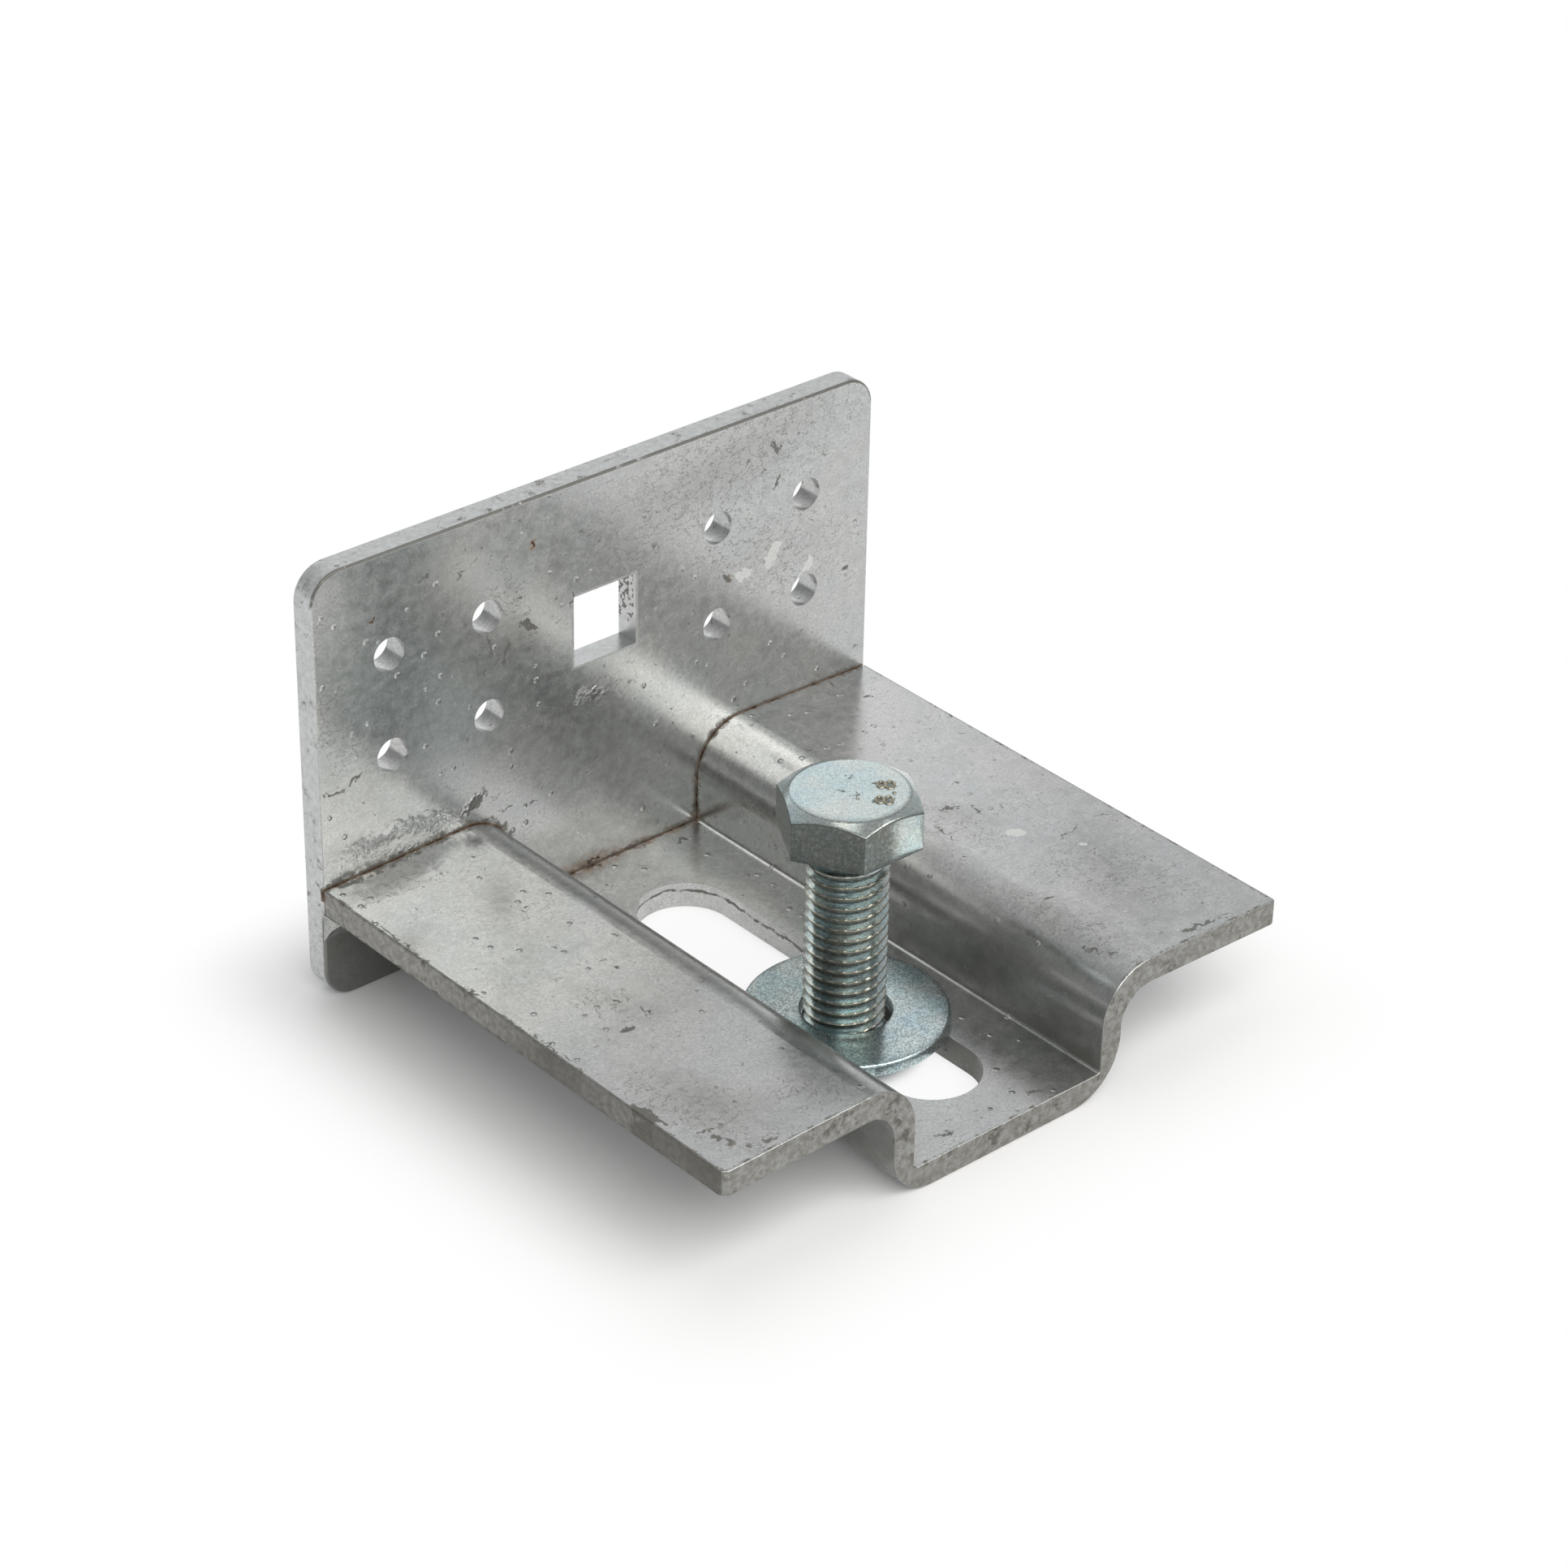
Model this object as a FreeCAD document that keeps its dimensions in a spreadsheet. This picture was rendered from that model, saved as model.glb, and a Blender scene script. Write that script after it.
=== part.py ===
"""Welded angle bracket: an upright nailing plate and a folded channel with a long slot, hot-dip
galvanised, with a loose M12 hex bolt and a flat washer standing in the slot.

Millimetres. The origin is the middle of the plate's back face, at its lower edge. +X runs along the
plate, +Z is up, and the channel reaches out towards -Y.
"""

import FreeCAD, Part
import math
import os

import Sketcher
from FreeCAD import Rotation, Vector

os.makedirs("parts", exist_ok=True)
doc = FreeCAD.newDocument("angle_bracket")


# Driving dimensions
SIZES = {
    # both formed pieces are cut from the same width of strip
    "bracket_width": 103.5,
    # upright plate
    "plate_high": 69.3,
    "plate_thick": 4.0,
    "plate_corner": 5.0,
    "plate_edge": 0.4,
    "nail_hole": 5.3,
    "nail_inner": 21.5,
    "nail_pitch_x": 17.3,
    "nail_low": 36.8,
    "nail_pitch_z": 16.3,
    "square_side": 11.6,
    "square_level": 45.0,
    # folded channel
    "channel_reach": 87.9,
    "channel_high": 20.0,
    "sheet": 4.1,
    "web": 3.7,
    "trough_width": 35.4,
    "flange_drop": 0.85,
    "top_bend": 8.4,
    "under_bend": 5.2,
    "trough_corner": 0.6,
    "left_corner": 7.3,
    "right_corner": 9.0,
    "left_front_corner": 1.5,
    "right_front_corner": 0.7,
    "sheet_edge": 0.3,
    "seam_gap": 0.3,
    # slot in the channel's floor
    "slot_width": 15.0,
    "slot_long": 68.2,
    "slot_start": 11.4,
    # fillet welds
    "weld_leg_out": 4.0,
    "weld_leg_down": 4.6,
    "weld_hollow": 0.5,
    "weld_end": 9.4,
    # loose bolt and washer
    "stand_out": 55.2,
    "washer_shift": 0.75,
    "bolt_shift": 1.2,
    "washer_outer": 30.0,
    "washer_hole": 13.2,
    "washer_thick": 2.0,
    "washer_rim": 0.4,
    "bolt_thread": 11.9,
    "bolt_long": 35.0,
    "bolt_point": 1.0,
    "head_flats": 18.7,
    "head_high": 7.4,
    "head_flat_top": 16.8,
    "head_slope": 1.4,
}

sheet = doc.addObject("Spreadsheet::Sheet", "Sizes")
for row, (alias, number) in enumerate(SIZES.items(), start=1):
    sheet.set(f"A{row}", alias)
    sheet.set(f"B{row}", str(number))
    sheet.setAlias(f"B{row}", alias)
doc.recompute()


def size(alias):
    """The sheet's own name for a size, for use in an expression."""
    return f"Sizes.{alias}"


# Lengths that follow from the driving dimensions, as expressions
HALF_WIDTH = f"{size('bracket_width')} / 2"
HALF_TROUGH = f"{size('trough_width')} / 2"
WEB_OUTSIDE = f"({HALF_TROUGH} + {size('web')})"
FLANGE_SLOPE = f"{size('flange_drop')} / ({HALF_WIDTH} - {HALF_TROUGH})"
FLANGE_EDGE_TOP = f"({size('channel_high')} - {size('flange_drop')})"
FLANGE_EDGE_UNDER = f"({FLANGE_EDGE_TOP} - {size('sheet')})"
FLANGE_ROOT_UNDER = f"({size('channel_high')} - {size('web')} * {FLANGE_SLOPE} - {size('sheet')})"
CHANNEL_START = f"({size('plate_thick')} + {size('seam_gap')})"


def value(expression):
    """The number that an expression over the sizes comes to."""
    return float(sheet.evalExpression(expression))


# Sketch and feature helpers
def add_body(label):
    body = doc.addObject("PartDesign::Body", label)
    body.Label = label
    return body


def origin_plane(body, role):
    return next(plane for plane in body.Origin.OriginFeatures if plane.Role == role)


def add_sketch(body, role, name, offset=None):
    """A sketch on one of the body's own origin planes, moved along the plane's normal by offset."""
    sketch = body.newObject("Sketcher::SketchObject", name)
    sketch.AttachmentSupport = [(origin_plane(body, role), "")]
    sketch.MapMode = "FlatFace"
    if offset:
        sketch.setExpression("AttachmentOffset.Base.z", offset)
    return sketch


def bind_point(sketch, geometry, end, across, up):
    """Tie a point of the sketch to two expressions, measured from the sketch's origin."""
    for kind, expression in (("DistanceX", across), ("DistanceY", up)):
        index = sketch.addConstraint(
            Sketcher.Constraint(kind, -1, 1, geometry, end, value(expression))
        )
        sketch.setExpression(f"Constraints[{index}]", expression)


def add_outline(sketch, corners):
    """A closed run of straight lines through corners, each tied to its two expressions."""
    points = [Vector(value(across), value(up), 0) for across, up in corners]
    count = len(points)
    first = sketch.GeometryCount
    for start in range(count):
        sketch.addGeometry(Part.LineSegment(points[start], points[(start + 1) % count]), False)
    for start in range(count):
        follows = first + (start + 1) % count
        sketch.addConstraint(Sketcher.Constraint("Coincident", first + start, 2, follows, 1))
    for start, (across, up) in enumerate(corners):
        bind_point(sketch, first + start, 1, across, up)


def add_circle(sketch, across, up, diameter):
    centre = Vector(value(across), value(up), 0)
    circle = sketch.addGeometry(
        Part.Circle(centre, Vector(0, 0, 1), value(diameter) / 2), False
    )
    bind_point(sketch, circle, 3, across, up)
    index = sketch.addConstraint(Sketcher.Constraint("Diameter", circle, value(diameter)))
    sketch.setExpression(f"Constraints[{index}]", diameter)


def add_pad(body, sketch, name, length):
    pad = body.newObject("PartDesign::Pad", name)
    pad.Profile = sketch
    pad.setExpression("Length", length)
    doc.recompute()
    return pad


def add_pocket(body, sketch, name, reverse):
    """Cut right through, and make sure that the cut met the solid."""
    before = body.Shape.Volume
    pocket = body.newObject("PartDesign::Pocket", name)
    pocket.Profile = sketch
    pocket.Type = "ThroughAll"
    pocket.Reversed = reverse
    doc.recompute()
    if body.Shape.Volume >= before:
        raise RuntimeError(f"{name} cut nothing")
    return pocket


def edges_at(shape, wanted):
    """Names of the shape's edges that wanted() picks from an edge's two ends, first to last."""
    names = []
    for number, edge in enumerate(shape.Edges, start=1):
        ends = [vertex.Point for vertex in edge.Vertexes]
        if wanted(ends[0], ends[-1]):
            names.append(f"Edge{number}")
    return names


def add_fillet(body, base, name, wanted, radius, count):
    """Round the edges of base that wanted() picks, and make sure that they are as many as meant."""
    names = edges_at(base.Shape, wanted)
    if len(names) != count:
        raise RuntimeError(f"{name} found {len(names)} edges, not {count}")
    fillet = body.newObject("PartDesign::Fillet", name)
    fillet.Base = (base, names)
    fillet.setExpression("Radius", radius)
    doc.recompute()
    return fillet


def near(one, other):
    return abs(one - other) < 0.01


def runs_along_y_at(across, up):
    """Picks an edge that runs front to back through the given place in the section."""
    at_x, at_z = value(across), value(up)
    return lambda a, b: (
        near(a.x, at_x) and near(b.x, at_x) and near(a.z, at_z) and near(b.z, at_z)
    )


# Upright plate: punched from 4 mm plate, with eight nail holes and one square hole
plate = add_body("back_plate")
plate_sketch = add_sketch(plate, "XZ_Plane", "plate_outline")
add_outline(
    plate_sketch,
    [
        (f"-{HALF_WIDTH}", "0"),
        (HALF_WIDTH, "0"),
        (HALF_WIDTH, size("plate_high")),
        (f"-{HALF_WIDTH}", size("plate_high")),
    ],
)
plate_pad = add_pad(plate, plate_sketch, "plate_blank", size("plate_thick"))
add_fillet(
    plate,
    plate_pad,
    "plate_corners",
    lambda a, b: near(a.x, b.x) and near(a.z, b.z),
    size("plate_corner"),
    4,
)

plate_front = -value(size("plate_thick"))
add_fillet(
    plate,
    plate.Tip,
    "plate_front_edge",
    lambda a, b: near(a.y, plate_front) and near(b.y, plate_front),
    size("plate_edge"),
    8,
)

nail_sketch = add_sketch(plate, "XZ_Plane", "nail_holes")
for column in range(2):
    for line in range(2):
        add_circle(
            nail_sketch,
            f"{size('nail_inner')} + {column} * {size('nail_pitch_x')}",
            f"{size('nail_low')} + {line} * {size('nail_pitch_z')}",
            size("nail_hole"),
        )
nail_pocket = add_pocket(plate, nail_sketch, "right_nail_holes", True)

nail_mirror = plate.newObject("PartDesign::Mirrored", "left_nail_holes")
nail_mirror.Originals = [nail_pocket]
nail_mirror.MirrorPlane = (origin_plane(plate, "YZ_Plane"), [""])
plate.Tip = nail_mirror
doc.recompute()

square_sketch = add_sketch(plate, "XZ_Plane", "square_hole")
HALF_SQUARE = f"{size('square_side')} / 2"
add_outline(
    square_sketch,
    [
        (f"-{HALF_SQUARE}", f"{size('square_level')} - {HALF_SQUARE}"),
        (HALF_SQUARE, f"{size('square_level')} - {HALF_SQUARE}"),
        (HALF_SQUARE, f"{size('square_level')} + {HALF_SQUARE}"),
        (f"-{HALF_SQUARE}", f"{size('square_level')} + {HALF_SQUARE}"),
    ],
)
add_pocket(plate, square_sketch, "square_hole_cut", True)


# Channel: one strip folded to a top-hat section, its end set against the plate's front face
channel = add_body("hat_channel")
section = add_sketch(channel, "XZ_Plane", "hat_section", CHANNEL_START)
add_outline(
    section,
    [
        (f"-{HALF_WIDTH}", FLANGE_EDGE_TOP),
        (f"-{HALF_TROUGH}", size("channel_high")),
        (f"-{HALF_TROUGH}", size("sheet")),
        (HALF_TROUGH, size("sheet")),
        (HALF_TROUGH, size("channel_high")),
        (HALF_WIDTH, FLANGE_EDGE_TOP),
        (HALF_WIDTH, FLANGE_EDGE_UNDER),
        (WEB_OUTSIDE, FLANGE_ROOT_UNDER),
        (WEB_OUTSIDE, "0"),
        (f"-{WEB_OUTSIDE}", "0"),
        (f"-{WEB_OUTSIDE}", FLANGE_ROOT_UNDER),
        (f"-{HALF_WIDTH}", FLANGE_EDGE_UNDER),
    ],
)
folded = add_pad(channel, section, "folded_strip", size("channel_reach"))

# The bends, from the outside in: name, radius and the corners of the section that it rounds
BENDS = [
    ("top_bends", "top_bend", [(f"-{HALF_TROUGH}", size("channel_high")),
                               (HALF_TROUGH, size("channel_high"))]),
    ("under_bends", "under_bend", [(f"-{WEB_OUTSIDE}", FLANGE_ROOT_UNDER),
                                   (WEB_OUTSIDE, FLANGE_ROOT_UNDER)]),
    ("trough_corners", "trough_corner", [(f"-{HALF_TROUGH}", size("sheet")),
                                         (HALF_TROUGH, size("sheet"))]),
    ("left_bottom_corner", "left_corner", [(f"-{WEB_OUTSIDE}", "0")]),
    ("right_bottom_corner", "right_corner", [(WEB_OUTSIDE, "0")]),
]
for bend, radius, places in BENDS:
    picks = [runs_along_y_at(across, up) for across, up in places]
    folded = add_fillet(
        channel,
        folded,
        bend,
        lambda a, b, picks=picks: any(pick(a, b) for pick in picks),
        size(radius),
        len(places),
    )

front_y = -value(f"{CHANNEL_START} + {size('channel_reach')}")
edge_x = value(HALF_WIDTH)
for corner, side, radius in (
    ("left_front_corner", -edge_x, "left_front_corner"),
    ("right_front_corner", edge_x, "right_front_corner"),
):
    folded = add_fillet(
        channel,
        folded,
        f"{corner}_round",
        lambda a, b, side=side: near(a.y, front_y) and near(b.y, front_y)
        and near(a.x, side) and near(b.x, side),
        size(radius),
        1,
    )

# Slot for the bolt: two half-round ends joined by straight sides
slot_sketch = add_sketch(channel, "XY_Plane", "bolt_slot")
HALF_SLOT = f"{size('slot_width')} / 2"
SLOT_BACK = f"-({size('plate_thick')} + {size('slot_start')} + {HALF_SLOT})"
SLOT_FRONT = f"-({size('plate_thick')} + {size('slot_start')} + {size('slot_long')} - {HALF_SLOT})"
slot_radius = value(HALF_SLOT)
back_centre = Vector(0, value(SLOT_BACK), 0)
front_centre = Vector(0, value(SLOT_FRONT), 0)
round_back = slot_sketch.addGeometry(
    Part.ArcOfCircle(Part.Circle(back_centre, Vector(0, 0, 1), slot_radius), 0, math.pi)
)
round_front = slot_sketch.addGeometry(
    Part.ArcOfCircle(
        Part.Circle(front_centre, Vector(0, 0, 1), slot_radius), math.pi, 2 * math.pi
    )
)
side = Vector(slot_radius, 0, 0)
left_side = slot_sketch.addGeometry(Part.LineSegment(back_centre - side, front_centre - side))
right_side = slot_sketch.addGeometry(Part.LineSegment(front_centre + side, back_centre + side))
for one, one_end, other, other_end in (
    (round_back, 2, left_side, 1),
    (left_side, 2, round_front, 1),
    (round_front, 2, right_side, 1),
    (right_side, 2, round_back, 1),
):
    slot_sketch.addConstraint(Sketcher.Constraint("Tangent", one, one_end, other, other_end))
bind_point(slot_sketch, round_back, 3, "0", SLOT_BACK)
bind_point(slot_sketch, round_front, 3, "0", SLOT_FRONT)
slot_round = slot_sketch.addConstraint(Sketcher.Constraint("Radius", round_back, slot_radius))
slot_sketch.setExpression(f"Constraints[{slot_round}]", HALF_SLOT)
slotted = add_pocket(channel, slot_sketch, "bolt_slot_cut", True)


# The cut edges of the strip are eased by the shear and by the zinc that runs over them
front_corner = max(value(size("left_front_corner")), value(size("right_front_corner")))


def on_the_cut_edge(a, b):
    """Picks the edges round the strip's front end and along the outsides of its flanges."""
    upright = near(a.x, b.x) and near(a.y, b.y)
    at_the_front = max(a.y, b.y) < front_y + front_corner + 0.01
    along_the_side = near(a.x, b.x) and near(abs(a.x), edge_x)
    return (at_the_front or along_the_side) and not upright


cut_names = edges_at(slotted.Shape, on_the_cut_edge)
cut_edges = channel.newObject("PartDesign::Fillet", "cut_edges")
cut_edges.Base = (slotted, cut_names)
cut_edges.setExpression("Radius", size("sheet_edge"))
doc.recompute()


# Fillet welds: one under each flange and down the outside of its web, on the plate's front face
WELD_CHORD_SQUARED = f"({size('weld_leg_out')}^2 + {size('weld_leg_down')}^2)"
WELD_FACE_RADIUS = (
    f"({WELD_CHORD_SQUARED} / 4 + {size('weld_hollow')}^2) / (2 * {size('weld_hollow')})"
)


def add_weld(label, hand):
    """hand is "-" on the left and "" on the right. The bead follows the channel's underside."""
    bead = add_body(label)
    edge = f"{hand}{HALF_WIDTH}"
    web = f"{hand}{WEB_OUTSIDE}"

    # The root of the bead: out along the flange, round the bend and down the web
    root = add_sketch(bead, "XZ_Plane", f"{label}_root", size("plate_thick"))
    edge_point = Vector(value(edge), value(FLANGE_EDGE_UNDER), 0)
    corner_point = Vector(value(web), value(FLANGE_ROOT_UNDER), 0)
    end_point = Vector(value(web), value(size("weld_end")), 0)
    bend = value(size("under_bend"))
    along = (edge_point - corner_point).normalize()
    down = (end_point - corner_point).normalize()
    between = (along + down).normalize()
    half_angle = along.getAngle(down) / 2
    setback = bend / math.tan(half_angle)
    centre = corner_point + between * (bend / math.sin(half_angle))
    on_flange = corner_point + along * setback
    on_web = corner_point + down * setback
    on_arc = centre - between * bend
    under_flange = root.addGeometry(Part.LineSegment(edge_point, on_flange))
    round_bend = root.addGeometry(Part.Arc(on_flange, on_arc, on_web))
    down_web = root.addGeometry(Part.LineSegment(on_web, end_point))
    corner = root.addGeometry(Part.Point(corner_point), True)
    bend_start = 1 if root.getPoint(round_bend, 1).isEqual(on_flange, 1e-6) else 2
    root.addConstraint(Sketcher.Constraint("Tangent", under_flange, 2, round_bend, bend_start))
    root.addConstraint(Sketcher.Constraint("Tangent", round_bend, 3 - bend_start, down_web, 1))
    root.addConstraint(Sketcher.Constraint("PointOnObject", corner, 1, under_flange))
    bind_point(root, under_flange, 1, edge, FLANGE_EDGE_UNDER)
    bind_point(root, down_web, 2, web, size("weld_end"))
    bind_point(root, corner, 1, web, FLANGE_ROOT_UNDER)
    radius = root.addConstraint(Sketcher.Constraint("Radius", round_bend, bend))
    root.setExpression(f"Constraints[{radius}]", size("under_bend"))

    # Its cross-section at the flange's edge: two legs and a hollow face
    cut = add_sketch(bead, "YZ_Plane", f"{label}_section", edge)
    leg_out = value(size("weld_leg_out"))
    leg_down = value(size("weld_leg_down"))
    hollow = value(size("weld_hollow"))
    root_point = Vector(-value(size("plate_thick")), value(FLANGE_EDGE_UNDER), 0)
    toe_out = root_point - Vector(leg_out, 0, 0)
    toe_down = root_point - Vector(0, leg_down, 0)
    middle = (toe_out + toe_down) / 2
    inwards = Vector(leg_down, leg_out, 0).normalize()
    sagged = middle + inwards * hollow
    on_channel = cut.addGeometry(Part.LineSegment(root_point, toe_out))
    face = cut.addGeometry(Part.Arc(toe_out, sagged, toe_down))
    on_plate = cut.addGeometry(Part.LineSegment(toe_down, root_point))
    face_start = 1 if cut.getPoint(face, 1).isEqual(toe_out, 1e-6) else 2
    cut.addConstraint(Sketcher.Constraint("Coincident", on_channel, 2, face, face_start))
    cut.addConstraint(Sketcher.Constraint("Coincident", face, 3 - face_start, on_plate, 1))
    cut.addConstraint(Sketcher.Constraint("Coincident", on_plate, 2, on_channel, 1))
    plate_face = f"-{size('plate_thick')}"
    bind_point(cut, on_channel, 1, plate_face, FLANGE_EDGE_UNDER)
    bind_point(cut, on_channel, 2, f"{plate_face} - {size('weld_leg_out')}", FLANGE_EDGE_UNDER)
    bind_point(cut, on_plate, 1, plate_face, f"{FLANGE_EDGE_UNDER} - {size('weld_leg_down')}")
    radius = cut.addConstraint(Sketcher.Constraint("Radius", face, value(WELD_FACE_RADIUS)))
    cut.setExpression(f"Constraints[{radius}]", WELD_FACE_RADIUS)

    pipe = bead.newObject("PartDesign::AdditivePipe", f"{label}_bead")
    pipe.Profile = cut
    pipe.Spine = (root, ["Edge1", "Edge2", "Edge3"])
    doc.recompute()
    return bead


left_weld = add_weld("left_weld", "-")
right_weld = add_weld("right_weld", "")


def stand_in_slot(body, shift, level):
    """Set a loose piece upright in the slot, a little to the left of its middle."""
    body.setExpression("Placement.Base.x", f"-{size(shift)}")
    body.setExpression("Placement.Base.y", f"-({size('plate_thick')} + {size('stand_out')})")
    body.setExpression("Placement.Base.z", level)


# Flat washer, lying on the channel's floor
washer = add_body("flat_washer")
ring = add_sketch(washer, "XY_Plane", "washer_ring")
add_circle(ring, "0", "0", size("washer_outer"))
add_circle(ring, "0", "0", size("washer_hole"))
ring_pad = add_pad(washer, ring, "washer_blank", size("washer_thick"))
washer_top = value(size("washer_thick"))
washer_rim = value(size("washer_outer")) / 2
rim_names = [
    f"Edge{number}"
    for number, edge in enumerate(ring_pad.Shape.Edges, start=1)
    if len(edge.Vertexes) == 1
    and near(edge.Vertexes[0].Z, washer_top)
    and near(abs(edge.Vertexes[0].X), washer_rim)
]
rim = washer.newObject("PartDesign::Chamfer", "punched_rim")
rim.Base = (ring_pad, rim_names)
rim.setExpression("Size", size("washer_rim"))
stand_in_slot(washer, "washer_shift", size("sheet"))
doc.recompute()


# Hex bolt, standing on the end of its thread, with its head up
bolt = add_body("hex_bolt")
shank_sketch = add_sketch(bolt, "XZ_Plane", "shank_section")
HALF_THREAD = f"{size('bolt_thread')} / 2"
add_outline(
    shank_sketch,
    [
        ("0", "0"),
        (f"{HALF_THREAD} - {size('bolt_point')}", "0"),
        (HALF_THREAD, size("bolt_point")),
        (HALF_THREAD, size("bolt_long")),
        ("0", size("bolt_long")),
    ],
)
shank = bolt.newObject("PartDesign::Revolution", "shank")
shank.Profile = shank_sketch
shank.ReferenceAxis = (shank_sketch, ["V_Axis"])
shank.Angle = 360
doc.recompute()

head_sketch = add_sketch(bolt, "XY_Plane", "head_hexagon", size("bolt_long"))
COS_30 = "cos(30 deg)"
SIN_30 = "sin(30 deg)"
CORNER = f"({size('head_flats')} / 2 / {COS_30})"
add_outline(
    head_sketch,
    [
        (CORNER, "0"),
        (f"{CORNER} * {SIN_30}", f"{size('head_flats')} / 2"),
        (f"-{CORNER} * {SIN_30}", f"{size('head_flats')} / 2"),
        (f"-{CORNER}", "0"),
        (f"-{CORNER} * {SIN_30}", f"-{size('head_flats')} / 2"),
        (f"{CORNER} * {SIN_30}", f"-{size('head_flats')} / 2"),
    ],
)
add_pad(bolt, head_sketch, "head", size("head_high"))

# The turned chamfer that takes the six corners off the top of the head
chamfer_sketch = add_sketch(bolt, "XZ_Plane", "head_chamfer_section")
HEAD_TOP = f"{size('bolt_long')} + {size('head_high')}"
OUTSIDE = f"({size('head_flats')})"
SLOPE_REACH = f"({OUTSIDE} - {size('head_flat_top')} / 2)"
SLOPE_SPAN = f"({CORNER} - {size('head_flat_top')} / 2)"
add_outline(
    chamfer_sketch,
    [
        (f"{size('head_flat_top')} / 2", HEAD_TOP),
        (OUTSIDE, HEAD_TOP),
        (OUTSIDE, f"{HEAD_TOP} - {size('head_slope')} * {SLOPE_REACH} / {SLOPE_SPAN}"),
    ],
)
chamfer = bolt.newObject("PartDesign::Groove", "head_chamfer")
chamfer.Profile = chamfer_sketch
chamfer.ReferenceAxis = (chamfer_sketch, ["V_Axis"])
chamfer.Angle = 360
stand_in_slot(bolt, "bolt_shift", "0 mm")
doc.recompute()


# Check every object and every piece, then write the pieces
PIECES = [plate, channel, left_weld, right_weld, washer, bolt]
for item in doc.Objects:
    if "Invalid" in item.State or "Error" in item.State:
        raise RuntimeError(f"{item.Label} failed: {item.State}")
for piece in PIECES:
    shape = piece.Shape
    if shape.isNull() or not shape.isValid() or len(shape.Solids) != 1:
        raise RuntimeError(f"{piece.Label} is not one valid solid")
    shape.exportStep(f"parts/{piece.Label}.step")
    box = shape.optimalBoundingBox()
    print(
        f"{piece.Label}: {shape.Volume:.1f} mm3, "
        f"x {box.XMin:.2f}..{box.XMax:.2f}, y {box.YMin:.2f}..{box.YMax:.2f}, "
        f"z {box.ZMin:.2f}..{box.ZMax:.2f}"
    )
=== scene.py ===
"""Looks for a welded angle bracket with a loose bolt and washer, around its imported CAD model.
All lengths given in millimetres are turned to metres where they are used."""

import math

import bmesh
import bpy
from mathutils import Matrix, Vector


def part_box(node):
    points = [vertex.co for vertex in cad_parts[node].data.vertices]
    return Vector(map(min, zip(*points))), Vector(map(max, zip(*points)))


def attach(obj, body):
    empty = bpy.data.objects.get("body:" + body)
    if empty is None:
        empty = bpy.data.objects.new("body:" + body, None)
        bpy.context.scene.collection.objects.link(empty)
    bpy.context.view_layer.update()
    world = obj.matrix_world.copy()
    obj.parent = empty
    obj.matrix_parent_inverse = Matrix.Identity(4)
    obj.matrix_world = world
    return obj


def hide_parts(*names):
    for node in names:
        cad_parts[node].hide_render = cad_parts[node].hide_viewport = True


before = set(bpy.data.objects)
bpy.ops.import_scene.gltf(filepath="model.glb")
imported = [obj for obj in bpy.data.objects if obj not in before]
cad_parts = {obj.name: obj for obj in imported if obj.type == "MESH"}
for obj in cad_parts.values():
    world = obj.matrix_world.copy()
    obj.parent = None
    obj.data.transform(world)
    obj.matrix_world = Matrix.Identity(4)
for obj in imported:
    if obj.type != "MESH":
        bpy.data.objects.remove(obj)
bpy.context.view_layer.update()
MM = 0.001


# Camera: a long lens at about 0.6 m, to the bracket's front left and 31 degrees above it.
# Its place was worked out from the bracket's own edges, holes and slot.
LENS = 99.62
CAMERA_PLACE = Vector((-348.274, -436.182, 352.245)) * MM
CAMERA_TURN = math.radians(-41.611)
CAMERA_RISE = math.radians(31.105)
CAMERA_ROLL = math.radians(1.173)

level = Vector((math.cos(CAMERA_TURN), math.sin(CAMERA_TURN), 0))
backwards = Vector((level.y, -level.x, math.tan(CAMERA_RISE))) * math.cos(CAMERA_RISE)
upwards = backwards.cross(level)
camera_right = level * math.cos(CAMERA_ROLL) + upwards * math.sin(CAMERA_ROLL)
camera_up = upwards * math.cos(CAMERA_ROLL) - level * math.sin(CAMERA_ROLL)

camera_data = bpy.data.cameras.new("camera")
camera_data.lens = LENS
camera_data.sensor_width = 36
camera_data.clip_start = 0.01
camera = bpy.data.objects.new("camera", camera_data)
bpy.context.scene.collection.objects.link(camera)
axes = Matrix((camera_right, camera_up, backwards)).transposed()
camera.matrix_world = Matrix.Translation(CAMERA_PLACE) @ axes.to_4x4()
bpy.context.scene.camera = camera
bpy.context.scene.view_settings.view_transform = "Standard"


# Table: a white sheet of matt paper that the bracket stands on. Round the bracket it shows the
# bracket's own soft shadow, further off it is plain white, and through the slot, away from the
# washer, a pool of white light is painted over the bracket's shadow. From below it is clear.
SMOOTH = {"interpolation_type": "SMOOTHSTEP"}


def linear(hex_colour):
    """An sRGB hex colour as the linear values that a shader takes."""
    channels = [int(hex_colour[start : start + 2], 16) / 255 for start in (1, 3, 5)]
    return [c / 12.92 if c <= 0.04045 else ((c + 0.055) / 1.055) ** 2.4 for c in channels] + [1]


def add_node(tree, kind, inputs=None, **settings):
    """Adds a node with its settings, sets or links its inputs by name or number, and gives its
    first output in use."""
    node = tree.nodes.new("ShaderNode" + kind)
    for name, setting in settings.items():
        setattr(node, name, setting)
    for key, value in (inputs or {}).items():
        if isinstance(key, int):
            socket = node.inputs[key]
        else:
            socket = next(s for s in node.inputs if s.name == key and s.enabled)
        if isinstance(value, bpy.types.NodeSocket):
            tree.links.new(value, socket)
        else:
            socket.default_value = value
    return next(socket for socket in node.outputs if socket.enabled)


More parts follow.
